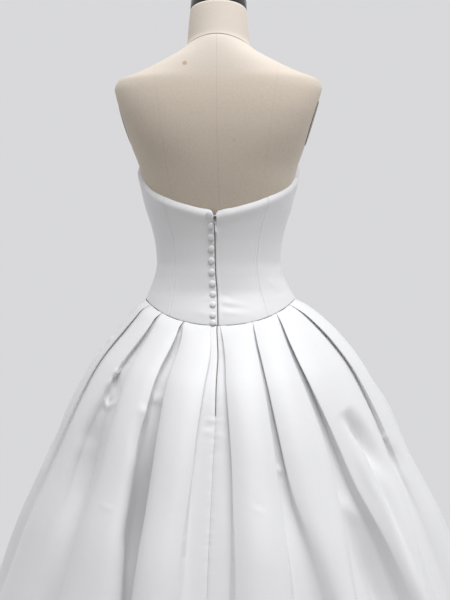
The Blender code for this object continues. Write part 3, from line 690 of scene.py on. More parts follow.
def seam_angle(angle, height):
    """Angle of a panel's edge at a height: the back princess seams draw in below the waist."""
    if abs(abs(angle) - PRINCESS_BACK) > 0.001:
        return np.full(np.shape(height), angle)
    line = look_up(PRINCESS_LINE, PRINCESS_COLUMNS, "angle", height)
    return np.sign(angle) * np.radians(line) - PRINCESS_RIGHT * (angle > 0)


def bodice_grid(first, last, columns):
    """Angles and heights of one panel's grid, from the waist seam up to the top edge. The rows
    crowd towards both ends, as half a cosine wave does."""
    even = np.linspace(0, 1, BODICE_ROWS)
    share = 0.2 * even + 0.8 * (0.5 - 0.5 * np.cos(math.pi * even))
    edges = []
    for edge in (first, last):
        height = bodice_height(np.full(BODICE_ROWS, edge), share)
        if edge == 0:
            edges.append(back_angle(centre_back_x(np.sign(first + last), height), height))
        else:
            edges.append(seam_angle(edge, height))
    across = np.linspace(0, 1, columns)[None, :]
    angle = edges[0][:, None] * (1 - across) + edges[1][:, None] * across
    return angle, bodice_height(angle, share[:, None])


# %% Drag lines and the roll under the top edge
ROLL_DROP = 0.0125          # the roll's crown is this far below the top edge
ROLL_WIDTH = 0.0095
ROLL_RISE = (0.0010, 0.0022)        # at the sides and at the back, as the next two
RIM_HEIGHT = (0.0090, 0.0115)       # over this stretch the cloth turns in to its folded edge
RIM_TURN = (0.0078, 0.0052)         # and this far
# rise, distance from the edge and width of the bells along a panel's edges
WELT = (0.0007, 0.0026, 0.0011)         # the pressed edge on each side of the slot
SEAM_DIP = (0.0004, 0.0, 0.0010)        # how a panel dips into its seam
SEAM_RIDGE = (0.0004, 0.0028, 0.0014)   # the seam allowance behind it shows as a ridge
WAIST_DIP = (0.0003, 0.0, 0.0014)

# start and end (angle in degrees, height), width, depth, place of the peak
DRAG_COLUMNS = ("angle_1", "height_1", "angle_2", "height_2", "width", "depth", "peak")
DRAGS = (
    (0.2, 0.999, 24.0, 0.990, 0.0050, 0.0008, 0.25),
    (0.2, 0.989, 27.0, 0.983, 0.0050, -0.0006, 0.30),
    (0.2, 0.980, 22.0, 0.973, 0.0055, 0.0007, 0.30),
    (1.5, 1.012, 14.0, 1.006, 0.0050, -0.0005, 0.30),
    (-1.5, 1.005, -17.0, 1.000, 0.0050, 0.0005, 0.30),
    (-3.0, 0.975, -20.0, 0.980, 0.0060, 0.0005, 0.40),
    (44.0, 1.040, 62.0, 1.022, 0.0070, 0.0006, 0.40),
    (46.0, 1.010, 66.0, 1.016, 0.0060, -0.0005, 0.50),
    (58.0, 1.085, 82.0, 1.075, 0.0060, 0.0005, 0.60),
    (60.0, 1.062, 86.0, 1.050, 0.0060, 0.0005, 0.60),
    (-52.0, 1.060, -80.0, 1.048, 0.0070, 0.0005, 0.55),
    (-46.0, 1.190, -60.0, 1.165, 0.0050, 0.0007, 0.30),
    (-47.0, 1.170, -63.0, 1.150, 0.0060, -0.0005, 0.40),
    (-70.0, 1.226, -84.0, 1.190, 0.0050, 0.0008, 0.30),
    (-76.0, 1.228, -87.0, 1.205, 0.0045, -0.0007, 0.40),
    (84.0, 1.228, 88.0, 1.185, 0.0050, 0.0010, 0.40),
    (100.0, 1.060, 128.0, 1.052, 0.0070, 0.0006, 0.50),
    (-104.0, 1.066, -132.0, 1.050, 0.0070, 0.0006, 0.50),
    (150.0, 1.040, 176.0, 1.034, 0.0080, 0.0006, 0.50),
    (-148.0, 1.028, -172.0, 1.030, 0.0080, -0.0005, 0.50),
    (138.0, 1.210, 122.0, 1.180, 0.0070, 0.0007, 0.40),
    (-138.0, 1.205, -120.0, 1.176, 0.0070, 0.0007, 0.40),
)


def drag_line(row):
    """A drag's line on the bodice: nine points that run evenly from its start to its end."""
    values = dict(zip(DRAG_COLUMNS, row))
    share = np.linspace(0, 1, 9)
    angle = np.radians(values["angle_1"] + (values["angle_2"] - values["angle_1"]) * share)
    height = values["height_1"] + (values["height_2"] - values["height_1"]) * share
    return bodice_point(angle, height), values["width"], values["depth"], values["peak"]


def edge_bell(distance, bell_row):
    """A bell along an edge, from its row of rise, place and width."""
    rise, place, width = bell_row
    return rise * bell(distance - place, width)


def bodice_relief(grid, angle, height):
    """How far the cloth stands off its plain shape: the roll, the dips into the seams, the drags."""
    below_top = top_height(angle) - height
    above_seam = height - seam_height(angle)
    middle = np.clip(np.cos(angle), 0, 1) ** 2
    rise, rim_height, rim_turn = (at_side + (at_back - at_side) * middle
                                  for at_side, at_back in (ROLL_RISE, RIM_HEIGHT, RIM_TURN))
    roll = rise * bell(below_top - ROLL_DROP, ROLL_WIDTH)
    roll -= rim_turn * (1 - np.clip(below_top / rim_height, 0, 1)) ** 2
    edge = edge_distance(grid)
    dips = edge_bell(edge, SEAM_DIP) - edge_bell(edge, SEAM_RIDGE) + edge_bell(above_seam, WAIST_DIP)
    from_slot = np.abs(grid[..., 0] - line_x(SLOT_LINE, height)) + FAR * (np.cos(angle) < 0)
    relief = roll - dips + edge_bell(from_slot, WELT)
    for row in DRAGS:
        line, width, depth, peak = drag_line(row)
        relief += crease(grid, line, width, depth, peak)
    return relief


# %% Lay the seven panels
# name, first and last seam
PANELS = (
    ("bodice_centre_back_right", 0.0, PRINCESS_BACK),
    ("bodice_side_back_right", PRINCESS_BACK, SIDE_SEAM),
    ("bodice_side_front_right", SIDE_SEAM, PRINCESS_FRONT),
    ("bodice_centre_front", PRINCESS_FRONT, 2 * CENTRE_FRONT - PRINCESS_FRONT),
    ("bodice_side_front_left", -PRINCESS_FRONT, -SIDE_SEAM),
    ("bodice_side_back_left", -SIDE_SEAM, -PRINCESS_BACK),
    ("bodice_centre_back_left", -PRINCESS_BACK, 0.0),
)
bodice = {}
cuts = {}                   # each panel's greatest width, its length and its flat area
for name, first, last in PANELS:
    columns = 2 * BODICE_COLUMNS if name == "bodice_centre_front" else BODICE_COLUMNS
    angle, height = bodice_grid(first, last, columns)
    grid = bodice_point(angle, height)
    relief = bodice_relief(grid, angle, height)
    grid = part_sides(grid + relief[..., None] * outward(grid), SEAM_GAP / 2)
    bodice[name] = lay_cloth(name.replace("bodice", "satin_bodice"), grid, BODICE_WALL)
    cuts[name] = cut_sizes(grid)
    print(name, "cut", [round(size, 4) for size in cuts[name]])

# %% [markdown]
# ## The skirt's cross section
#
# Fifteen box pleats are folded at the waist, five gores of three pleats each. A pleat is a band in
# front and a recess behind it. At the waist the band's edges lie over the recess, and the fold is
# pressed sharp. Further down the cloth opens into a wave, and only some edges stay sharp. So the
# section is a cubic B-spline, a smooth curve drawn towards guide points, with twelve guide points a
# pleat. Where two guide points fall together the curve turns sharply, and where they draw apart the
# fold is soft. Tables give the ring's size from waist to hem and each band's edges.

# %% Skirt tables
PROFILE_COLUMNS = ("drop", "radius", "roundness", "shift", "edge", "recess", "tuck")
SKIRT_PROFILE = (
    (0.000, 0.1455, 0.84, 0.0065, 0.0008, 0.0016, 0.0090),
    (0.012, 0.1660, 0.85, 0.009, 0.0020, 0.0120, 0.0100),
    (0.030, 0.1860, 0.87, 0.013, 0.0035, 0.0190, 0.0110),
    (0.067, 0.2210, 0.90, 0.017, 0.0060, 0.0270, 0.0120),
    (0.117, 0.2600, 0.93, 0.018, 0.0080, 0.0285, 0.0110),
    (0.190, 0.3020, 0.95, 0.019, 0.0100, 0.0360, 0.0080),
    (0.300, 0.3530, 0.97, 0.021, 0.0125, 0.0425, 0.0020),
    (0.424, 0.4120, 0.98, 0.025, 0.0150, 0.0480, -0.0080),
    (0.600, 0.4780, 0.99, 0.028, 0.0175, 0.0520, -0.0180),
    (0.800, 0.5440, 1.00, 0.030, 0.0200, 0.0555, -0.0260),
    (1.000, 0.5900, 1.00, 0.030, 0.0220, 0.0580, -0.0320),
)
FOLD_LEVELS = (0.0, 0.09, 0.28, 0.55)
FOLD_COLUMNS = ("waist_start", "waist_end", "hip_start", "hip_end",
                "knee_start", "knee_end", "low_start", "low_end", "recess")
FOLDS = (
    (0.8, 20.7, 1.5, 17.6, 3.4, 17.4, 3.3, 16.0, 0.80),
    (21.8, 41.6, 18.9, 34.7, 20.7, 35.9, 26.6, 32.4, 0.80),
    (42.6, 59.6, 37.1, 63.3, 42.2, 63.2, 50.3, 54.1, 0.95),
    (62.5, 89.0, 67.5, 87.5, 69.5, 84.5, 69.0, 80.5, 0.65),
    (92.0, 114.5, 92.0, 112.5, 91.0, 107.5, 90.0, 102.0, 1.05),
    (116.5, 140.0, 116.0, 136.5, 114.5, 131.0, 114.5, 126.0, 0.90),
    (142.0, 166.0, 141.0, 162.0, 140.5, 157.0, 139.0, 152.5, 1.10),
    (168.5, 191.5, 167.0, 189.0, 166.5, 185.0, 164.5, 181.5, 1.00),
    (194.0, 218.0, 194.0, 215.5, 194.5, 212.5, 193.0, 208.0, 1.05),
    (220.0, 243.5, 219.5, 241.0, 221.0, 237.0, 220.5, 232.0, 0.90),
    (245.5, 268.0, 245.0, 267.0, 246.0, 262.5, 245.5, 258.0, 1.05),
    (270.5, 298.0, 270.5, 287.5, 269.5, 283.5, 266.5, 277.5, 0.95),
    (300.6, 316.6, 292.8, 308.2, 291.8, 304.7, 287.3, 305.5, 0.50),
    (317.9, 337.0, 314.4, 330.3, 318.0, 331.8, 317.2, 334.5, 0.95),
    (338.0, 355.9, 335.8, 353.1, 337.8, 350.9, 338.4, 348.7, 1.35),
)

# how sharp each band's start and end edge is: near the waist and near the hem, from 0 to 1, and
# the drop where it has gone half way from one to the other
CRISP_COLUMNS = ("start_top", "start_low", "start_drop", "end_top", "end_low", "end_drop")
CRISP = (
    (1.00, 0.25, 0.55, 1.00, 0.95, 0.60),
    (1.00, 0.15, 0.36, 1.00, 0.35, 0.46),
    (1.00, 0.90, 0.60, 0.95, 0.10, 0.27),
    (1.00, 0.35, 0.30, 0.90, 0.30, 0.40),
    (0.95, 0.70, 0.50, 0.95, 0.20, 0.32),
    (1.00, 0.20, 0.38, 0.95, 0.80, 0.50),
    (0.95, 0.85, 0.60, 1.00, 0.25, 0.42),
    (1.00, 0.30, 0.45, 0.95, 0.75, 0.55),
    (0.95, 0.20, 0.35, 1.00, 0.85, 0.60),
    (1.00, 0.80, 0.55, 0.95, 0.25, 0.30),
    (0.95, 0.70, 0.50, 0.95, 0.30, 0.44),
    (0.95, 0.60, 0.50, 0.70, 0.20, 0.30),
    (1.00, 0.85, 0.60, 0.90, 0.10, 0.17),
    (1.00, 1.00, 0.60, 1.00, 0.15, 0.24),
    (1.00, 1.00, 0.60, 1.00, 0.20, 0.46),
)
GUIDES = 12                 # guide points for each pleat
CRISP_CHANGE = 0.14         # an edge's sharpness changes over this share of the way down
SOFT_SPREAD = 0.42          # how far a soft fold's two guide points draw apart
CORNER_LIMITS = (0.36, 0.30)    # a corner keeps within these shares of the recess and of the band
CORNER_SINK = 0.92          # share of the recess's depth
FOLD_SINK = (0.16, 0.70)    # shares of the recess's depth and of the edge's
SHOULDER_IN = 0.23          # share of the band's width
SHOULDER_SINK = 0.31        # share of the edge's depth
CREST_SINK = 0.07           # share of the edge's depth
HEM_HEIGHT = 0.008
WAIST_GAP = 0.0007          # the skirt's edge hangs this much lower than the bodice's
WAIST_OUT = 0.001           # and lies this far outside it
WAIST_BLEND = 0.06          # over this share of the way down the skirt leaves the bodice's outline
SEAM_SHIFT_COLUMNS = ("drop", "angle")
CENTRE_SEAM_SHIFT = (       # turns the centre back seam so that it goes on straight below the slot
    (0.000, 1.30),
    (0.012, 0.75),
    (0.035, -0.10),
    (0.070, -0.05),
    (0.120, 0.25),
    (0.165, 0.50),
    (0.200, 0.30),
    (0.260, -0.10),
    (0.500, -0.20),
    (1.000, 0.00),
)

# %% Guide points and the surface
def profile(name, drop):
    """A size of the skirt's cross section, a share drop of the way from seam to hem."""
    return look_up(SKIRT_PROFILE, PROFILE_COLUMNS, name, drop)


def fold_angles(drop):
    """Start and end angle of each band at every drop: two arrays of drops by bands.

    What runs smoothly is an edge's distance round the ring, against the ring's radius.
    """
    ends = []
    rings = profile("radius", FOLD_LEVELS)
    ring = profile("radius", np.minimum(drop, FOLD_LEVELS[-1]))
    for end in ("start", "end"):
        levels = np.array([column(FOLDS, FOLD_COLUMNS, level + "_" + end)
                           for level in ("waist", "hip", "knee", "low")])
        bands = [smooth(rings, levels[:, k] * rings, ring) / ring for k in range(len(FOLDS))]
        ends.append(np.radians(np.stack(bands, axis=-1)))
    return ends


def crispness(drop, end):
    """How sharp each band's edge is at every drop: a smooth step between its two values."""
    top, low, middle = (column(CRISP, CRISP_COLUMNS, end + part) for part in ("_top", "_low", "_drop"))
    share = np.clip((drop[:, None] - middle) / CRISP_CHANGE + 0.5, 0, 1)
    return top + (low - top) * smooth_step(share)


def apart(centre, before, after, sharp):
    """A pair of guide points: on one spot where the fold is sharp, and otherwise part of the way
    towards the guide points on their two sides."""
    spread = SOFT_SPREAD * (1 - sharp)
    return [centre + spread * (before - centre), centre + spread * (after - centre)]


def skirt_guides(drop):
    """Angle and inward offset of the guide points, twelve a pleat.

    In order: the recess, a pair at its corner under the band, a pair at the band's edge, the
    shoulder, the crest, and the same back down. The corner lies under the band by the tuck, which
    turns negative below the knee, where the fold has opened into a wave.
    """
    start, end = fold_angles(drop)
    before = np.roll(end, 1, axis=1)
    before[:, 0] -= 2 * math.pi
    after = np.roll(start, -1, axis=1)
    after[:, -1] += 2 * math.pi
    radius = profile("radius", drop)[:, None]
    tuck = profile("tuck", drop)[:, None] / radius
    width, gap_before, gap_after = end - start, start - before, after - end
    tuck_start, tuck_end = (np.clip(tuck, -CORNER_LIMITS[0] * gap, CORNER_LIMITS[1] * width)
                            for gap in (gap_before, gap_after))
    centre = (before + start) / 2
    centre[:, 0] += np.radians(look_up(CENTRE_SEAM_SHIFT, SEAM_SHIFT_COLUMNS, "angle", drop))
    share = column(FOLDS, FOLD_COLUMNS, "recess")
    recess = profile("recess", drop)[:, None] * share
    recess_after = profile("recess", drop)[:, None] * np.roll(share, -1)
    edge = profile("edge", drop)[:, None] * np.ones_like(width)
    middle = np.stack([centre, recess])
    corner = np.stack([start + tuck_start, CORNER_SINK * recess])
    fold = np.stack([start, FOLD_SINK[0] * recess + FOLD_SINK[1] * edge])
    shoulder = np.stack([start + SHOULDER_IN * width, SHOULDER_SINK * edge])
    crest = np.stack([(start + end) / 2, CREST_SINK * edge])
    shoulder_2 = np.stack([end - SHOULDER_IN * width, SHOULDER_SINK * edge])
    fold_2 = np.stack([end, FOLD_SINK[0] * recess_after + FOLD_SINK[1] * edge])
    corner_2 = np.stack([end - tuck_end, CORNER_SINK * recess_after])
    middle_2 = np.stack([np.roll(centre, -1, axis=1), recess_after])
    middle_2[0, :, -1] += 2 * math.pi
    sharp, sharp_2 = crispness(drop, "start"), crispness(drop, "end")
    points = [middle, *apart(corner, middle, fold, sharp), *apart(fold, corner, shoulder, sharp),
              shoulder, crest, shoulder_2, *apart(fold_2, shoulder_2, corner_2, sharp_2),
              *apart(corner_2, fold_2, middle_2, sharp_2)]
    return np.stack(points, axis=-1).reshape(2, len(drop), -1)


def skirt_point(station, drop):
    """Middle of the skirt's wall: rows of drop by columns of station, twelve stations a pleat.

    The cubic B-spline is a mean of four neighbouring guide points, with weights that change
    smoothly along the curve. At the seam the ring follows the bodice's edge, and below that it
    swells to the radius of the profile.
    """
    station, drop = np.asarray(station, float), np.asarray(drop, float)
    angles, inward = skirt_guides(drop)
    count = angles.shape[1]
    i = np.floor(station).astype(int)
    f = station - i
    weights = ((1 - f) ** 3 / 6, (3 * f ** 3 - 6 * f ** 2 + 4) / 6,
               (-3 * f ** 3 + 3 * f ** 2 + 3 * f + 1) / 6, f ** 3 / 6)
    angle = np.zeros((len(drop), len(station)))
    sink = np.zeros_like(angle)
    for shift, weight in zip((-1, 0, 1, 2), weights):
        turns, index = np.divmod(i + shift, count)
        angle += weight * (angles[:, index] + 2 * math.pi * turns)
        sink += weight * inward[:, index]
    down = drop[:, None]
    radius = profile("radius", drop)[:, None] - sink
    seam = seam_height(angle)
    ring = np.stack([profile("shift", drop)[:, None] + radius * np.sin(angle),
                     -profile("roundness", drop)[:, None] * radius * np.cos(angle),
                     seam * (1 - down) + HEM_HEIGHT * down - WAIST_GAP * (1 - down)], axis=-1)
    first = profile("radius", 0.0) - sink[:1]
    narrow = np.stack([profile("shift", 0.0) + first * np.sin(angle),
                       -profile("roundness", 0.0) * first * np.cos(angle)], axis=-1)
    bodice_edge = bodice_point(angle, seam, WAIST_OUT - sink[:1])[..., :2]
    follow = np.clip(1 - down / WAIST_BLEND, 0, 1)[..., None]
    ring[..., :2] += (bodice_edge - narrow) * follow ** 2
    return ring


hem_ring = skirt_point(np.linspace(0, GUIDES * len(FOLDS), 1500), np.array([0.0, 1.0]))
print("the hem is", round(float(lengths_along(hem_ring, 1)[1, -1]), 2), "m round")

# %% [markdown]
# ## Gores, with their creases
#
# Each gore is seamed to the next in a recess, where the seam hides. The recess at the centre back
# holds the zip, and the stitches of each seam draw the cloth up a little. The table of creases
# gives a pleat, two places across it (0 and 12 are the recesses, 3 to 4 and 8 to 9 the edges, 6 the
# crest), two drops, and then width, depth and peak. The bands on the hidden sides have creases of
# the same kind, each with its own sizes.

# %% Creases of the skirt
CREASE_COLUMNS = ("pleat", "place_1", "drop_1", "place_2", "drop_2", "width", "depth", "peak")
CREASES = (
    (0, 5.5, 0.306, 6.8, 0.330, 0.0050, -0.0005, 0.5),      # short tucks on the first band
    (0, 5.4, 0.319, 6.9, 0.336, 0.0042, 0.0004, 0.4),
    (0, 1.9, 0.406, 3.0, 0.420, 0.0045, -0.0015, 0.5),
    (0, -0.2, 0.177, 0.6, 0.170, 0.0036, 0.0009, 0.4),       # beside the foot of the zip
    (0, -0.2, 0.194, 0.8, 0.206, 0.0050, 0.0008, 0.4),
    (0, -0.2, 0.222, 0.7, 0.230, 0.0060, -0.0006, 0.4),
    (1, -0.9, 0.256, 1.1, 0.274, 0.0070, 0.0026, 0.5),      # a bulge in the second recess
    (1, 5.6, 0.152, 9.4, 0.232, 0.0035, 0.0004, 0.5),       # a faint pressed line
    (1, 7.4, 0.006, 9.2, 0.026, 0.0030, -0.0010, 0.5),
    (2, -0.9, 0.318, 1.2, 0.386, 0.0135, 0.0046, 0.5),      # a bulge in the third recess
    (2, 5.4, 0.180, 7.0, 0.335, 0.0160, -0.0210, 0.30),     # the dent in the third band
    (2, 5.0, 0.220, 5.0, 0.360, 0.0100, 0.0045, 0.5),
    (2, 5.3, 0.300, 5.2, 0.430, 0.0100, 0.0040, 0.4),
    (2, 6.0, 0.195, 5.9, 0.540, 0.0120, -0.0150, 0.40),
    (2, 8.3, 0.230, 8.1, 0.580, 0.0150, 0.0085, 0.40),
    (2, 0.2, 0.330, 0.8, 0.720, 0.0220, -0.0280, 0.42),
    (3, 1.9, 0.246, 3.1, 0.257, 0.0050, 0.0030, 0.5),       # the fourth band's broken edge
    (3, 2.6, 0.262, 3.2, 0.330, 0.0120, -0.0040, 0.4),
    (3, 6.2, 0.180, 8.4, 0.215, 0.0110, -0.0040, 0.5),      # the wearer's right side
    (4, 4.2, 0.105, 5.6, 0.170, 0.0140, -0.0060, 0.4),
    (4, 5.0, 0.160, 5.6, 0.300, 0.0090, 0.0045, 0.4),
    (4, 9.3, 0.330, 7.6, 0.350, 0.0050, 0.0018, 0.5),
    (5, 0.0, 0.225, 1.4, 0.240, 0.0070, 0.0040, 0.5),
    (5, 7.2, 0.150, 8.8, 0.164, 0.0050, 0.0030, 0.6),
    (5, 5.2, 0.410, 6.1, 0.430, 0.0045, -0.0014, 0.5),
    (6, 3.2, 0.120, 4.8, 0.150, 0.0070, 0.0035, 0.4),       # the front
    (6, 6.4, 0.260, 7.2, 0.420, 0.0140, -0.0050, 0.5),
    (7, 5.0, 0.085, 6.4, 0.140, 0.0120, -0.0040, 0.5),
    (7, -0.3, 0.300, 1.0, 0.318, 0.0080, 0.0040, 0.5),
    (7, 4.4, 0.470, 5.6, 0.452, 0.0050, 0.0015, 0.4),
    (8, 8.2, 0.130, 6.6, 0.148, 0.0050, 0.0028, 0.4),
    (8, 5.6, 0.190, 5.0, 0.330, 0.0150, -0.0060, 0.4),
    (9, 4.0, 0.210, 6.2, 0.250, 0.0130, -0.0065, 0.5),      # the wearer's left side
    (9, 5.9, 0.245, 5.5, 0.390, 0.0090, 0.0042, 0.4),
    (9, 11.2, 0.150, 12.4, 0.160, 0.0060, 0.0035, 0.5),
    (10, 3.6, 0.095, 5.0, 0.120, 0.0045, 0.0022, 0.5),
    (10, 7.0, 0.300, 8.6, 0.322, 0.0100, -0.0035, 0.5),
    (10, 6.2, 0.400, 7.0, 0.416, 0.0045, 0.0014, 0.5),
    (11, 6.0, 0.070, 7.6, 0.080, 0.0045, 0.0024, 0.5),
    (11, 5.2, 0.200, 7.4, 0.330, 0.0150, -0.0050, 0.5),
    (12, 7.6, 0.124, 11.6, 0.111, 0.0048, 0.0040, 0.40),    # where the left recess closes
    (12, 9.8, 0.120, 11.9, 0.162, 0.0095, -0.0022, 0.5),
    (12, 7.7, 0.120, 10.2, 0.170, 0.0046, 0.0032, 0.45),
    (12, 8.8, 0.160, 11.5, 0.190, 0.0050, 0.0040, 0.55),
    (12, 11.0, 0.192, 12.3, 0.160, 0.0050, 0.0032, 0.45),
    (12, 10.6, 0.170, 11.4, 0.176, 0.0045, -0.0020, 0.5),
    (12, 6.6, 0.250, 11.6, 0.218, 0.0140, -0.0014, 0.5),
    (12, 7.4, 0.270, 10.8, 0.248, 0.0110, 0.0007, 0.5),
    (12, 10.4, 0.175, 11.5, 0.500, 0.0200, -0.0165, 0.42),   # the third left band falls away
    (13, 11.4, 0.008, 12.4, 0.016, 0.0030, 0.0013, 0.5),    # in the last recess
    (13, 11.3, 0.022, 12.3, 0.028, 0.0034, -0.0014, 0.5),
    (13, 10.2, 0.160, 12.7, 0.134, 0.0105, 0.0030, 0.45),
    (13, 12.0, 0.090, 11.6, 0.620, 0.0250, -0.0380, 0.55),
    (13, 6.4, 0.156, 8.8, 0.176, 0.0080, 0.0018, 0.6),
    (13, 8.6, 0.178, 8.1, 0.270, 0.0120, -0.0040, 0.35),
    (13, 5.4, 0.334, 7.4, 0.343, 0.0046, 0.0008, 0.5),
    (13, 9.2, 0.330, 9.0, 0.430, 0.0110, -0.0040, 0.5),
    (14, 8.8, 0.374, 10.0, 0.385, 0.0042, 0.0016, 0.5),
    (14, 9.0, 0.402, 10.2, 0.413, 0.0042, -0.0013, 0.5),
    (14, 11.3, 0.169, 12.2, 0.175, 0.0036, 0.0010, 0.5),
    (14, 11.3, 0.186, 12.2, 0.181, 0.0038, -0.0009, 0.5),
    (14, 11.2, 0.190, 12.2, 0.198, 0.0040, 0.0010, 0.5),
)
GORES = ("back_right", "side_right", "front", "side_left", "back_left")
CENTRE_EDGE = {"back_right": 0, "back_left": -1}    # the column of the grid that lies beside the zip
PLEATS_PER_GORE = 3
SAMPLES = 5                 # columns of the grid from one guide point to the next
SKIRT_ROWS = ((0.0, 0.03, 12), (0.03, 0.45, 112), (0.45, 1.0, 34))   # close together where it shows
ZIP_END_DROP = 0.165        # the zip runs this share of the way down the skirt
CREASE_REACH = 7.5          # a crease ends within this many places of the crest of its pleat
SWELL = 0.0012              # slow unevenness of the cloth, in metres
SWELL_WAVES = ((23, 0, 9), (0, 17, 13))     # its two waves: how fast each turns along x, y and z
SWELL_FADE = (0.1, 0.3)     # it starts at this drop, and is full after this much more
GORE_DIP = (0.0008, 0.0, 0.0022)    # rise, place and width: how a gore dips into its seam
GORE_WAIST_DIP = (0.0003, 0.0, 0.0018)
PUCKER = (0.0005, 0.0, 0.006)       # how far the stitches draw up the cloth on both sides of a seam
PUCKER_LENGTHS = ((0.047, 0.0193), (0.113, 0.0131))     # lengths of the waves that make it uneven
PUCKER_FADE = 0.05          # it fades in over this length below the waist


def skirt_crease(row):
    """A crease's line on the skirt: seven points that run evenly between its two places."""
    values = dict(zip(CREASE_COLUMNS, row))
    places = np.linspace(values["place_1"], values["place_2"], 7) + GUIDES * values["pleat"]
    drops = np.linspace(values["drop_1"], values["drop_2"], 7)
    both = np.arange(7)
    return skirt_point(places, drops)[both, both], values


def skirt_relief(grid, station, drop):
    """How far the cloth stands off its plain shape: creases near their own pleat, a slow swell,
    and the dips into the seams, which the stitches draw up unevenly."""
    relief = np.zeros(grid.shape[:2])
    for row in CREASES:
        line, values = skirt_crease(row)
        near = np.abs(station - GUIDES * (values["pleat"] + 0.5)) < CREASE_REACH
        relief[:, near] += crease(grid[:, near], line, values["width"], values["depth"], values["peak"])
    swell = np.sin(grid @ SWELL_WAVES[0]) * np.sin(grid @ SWELL_WAVES[1])
    relief += SWELL * swell * np.clip((drop[:, None] - SWELL_FADE[0]) / SWELL_FADE[1], 0, 1)
    down = lengths_along(grid, 0)
    edge = edge_distance(grid)
    (long_1, short_1), (long_2, short_2) = PUCKER_LENGTHS
    draw = np.sin(2 * math.pi * down / long_1) * np.sin(2 * math.pi * down / short_1 + 1.3)
    draw += 0.5 * np.sin(2 * math.pi * down / long_2) * np.sin(2 * math.pi * down / short_2)
    relief += edge_bell(edge, PUCKER) * draw * np.clip(down / PUCKER_FADE, 0, 1)
    return relief - edge_bell(edge, GORE_DIP) - edge_bell(down, GORE_WAIST_DIP)


def slot_half(drop):
    """Half the slot at the centre back: open along the zip, sewn shut below it."""
    return np.where(drop < ZIP_END_DROP, ZIP_OPENING, SEAM_GAP / 2)


# %% Lay the five gores
drops = np.unique(np.concatenate([np.linspace(*stretch) for stretch in SKIRT_ROWS]))
gores = {}
for number, name in enumerate(GORES):
    width = PLEATS_PER_GORE * GUIDES
    station = np.linspace(number * width, (number + 1) * width, SAMPLES * width + 1)
    grid = skirt_point(station, drops)
    relief = skirt_relief(grid, station, drops)
    grid = grid + relief[..., None] * outward(grid)
    sewn = part_sides(grid, SEAM_GAP / 2)
    if name in CENTRE_EDGE:
        edge = CENTRE_EDGE[name]
        sewn[:, edge] = part_sides(grid, slot_half(drops))[:, edge]
    gores[name] = lay_cloth("satin_skirt_" + name, sewn, SKIRT_WALL)
    cuts["skirt_" + name] = cut_sizes(sewn)
    print(name, "cut", [round(size, 4) for size in cuts["skirt_" + name]])

# %% [markdown]
# ## Covered buttons
#
# Eleven half-ball buttons, each covered in the gown's satin, lie on the left back panel beside the
# zip. The cloth is gathered behind the button, so the rim shows small soft tucks. A profile from
# the back, round the rim and up to the crown is turned round the button's own axis, and the tucks
# are a small wave of the radius that fades towards the crown.

# %% Buttons
BUTTON_RADIUS = 0.0060
BUTTON_RISE = 0.0038
BUTTON_LIFT = 0.0008
BUTTON_HEIGHTS = (1.1615, 1.1400, 1.1188, 1.0974, 1.0750, 1.0535, 1.0318, 1.0122, 0.9928, 0.9735,
                  0.9595)
BUTTON_LINE = (
    (0.955, -0.0037),
    (0.985, -0.0045),
    (1.014, -0.0052),
    (1.045, -0.0072),
    (1.075, -0.0082),
    (1.110, -0.0085),
    (1.142, -0.0084),
    (1.162, -0.0119),
)
BUTTON_BACK = ((0.0, 0.02), (0.55, 0.02), (0.80, 0.03))     # shares of the radius and of the rise
BUTTON_SIDE = 104           # degrees from the crown where the bulge starts, under the rim
BUTTON_BULGE = (0.26, 0.74)     # shares of the rise: height of the bulge's middle, and its size
BUTTON_SINK = 0.0003        # how far the back is pressed into the cloth
BUTTON_TUCKS = 13
TUCK_DEPTH = 0.035          # share of the radius
TUCK_REACH = 0.45           # share of the rise
CLOTH_HALF = 0.00075        # the outer face of the bodice's plain solid, from the wall's middle


def surface_frame(x, height):
    """Point of the bodice's outer face at the back, its outward direction and the way up it: the
    last two from small steps along the surface."""
    step = 0.002
    here, above, beside = (bodice_point(back_angle(at_x, at_height), at_height) for at_x, at_height in
                           ((x, height), (x, height + step), (x + step, height)))
    up = Vector(above - here).normalized()
    out = Vector(beside - here).normalized().cross(up).normalized()
    roll = ROLL_RISE[1] * bell(top_height(0.1) - height - ROLL_DROP, ROLL_WIDTH)
    return Vector(here) + out * float(CLOTH_HALF + roll), out, up


def lay_button(number):
    """Turn the button's profile round its axis; the radius has a wave of tucks near the rim."""
    height = BUTTON_HEIGHTS[number]
    spot, out, up = surface_frame(line_x(BUTTON_LINE, height), height)
    across = up.cross(out)
    bulge = np.radians(np.linspace(BUTTON_SIDE, 0, 15))
    back_radius, back_rise = np.array(BUTTON_BACK).T
    radius = np.concatenate([back_radius, np.sin(bulge)]) * BUTTON_RADIUS
    rise = np.concatenate([back_rise, BUTTON_BULGE[0] + BUTTON_BULGE[1] * np.cos(bulge)])
    rise = rise * BUTTON_RISE + BUTTON_LIFT - BUTTON_SINK
    around = full_turn(52)
    low = bell(rise - rise[len(back_rise)], TUCK_REACH * BUTTON_RISE)[:, None]
    tucks = 1 - TUCK_DEPTH * low * (0.5 + 0.5 * np.cos(BUTTON_TUCKS * around + number)) ** 2
    span = (radius[:, None] * tucks)[..., None]
    ring = np.cos(around)[:, None] * np.array(across) + np.sin(around)[:, None] * np.array(up)
    grid = np.array(spot) + span * ring + rise[:, None, None] * np.array(out)
    return face_out(lay_surface("covered_button_%02d" % (number + 1), grid, wrap=True))


buttons = [lay_button(number) for number in range(len(BUTTON_HEIGHTS))]
print(len(buttons), "buttons,", len(buttons[0].data.polygons), "faces each")
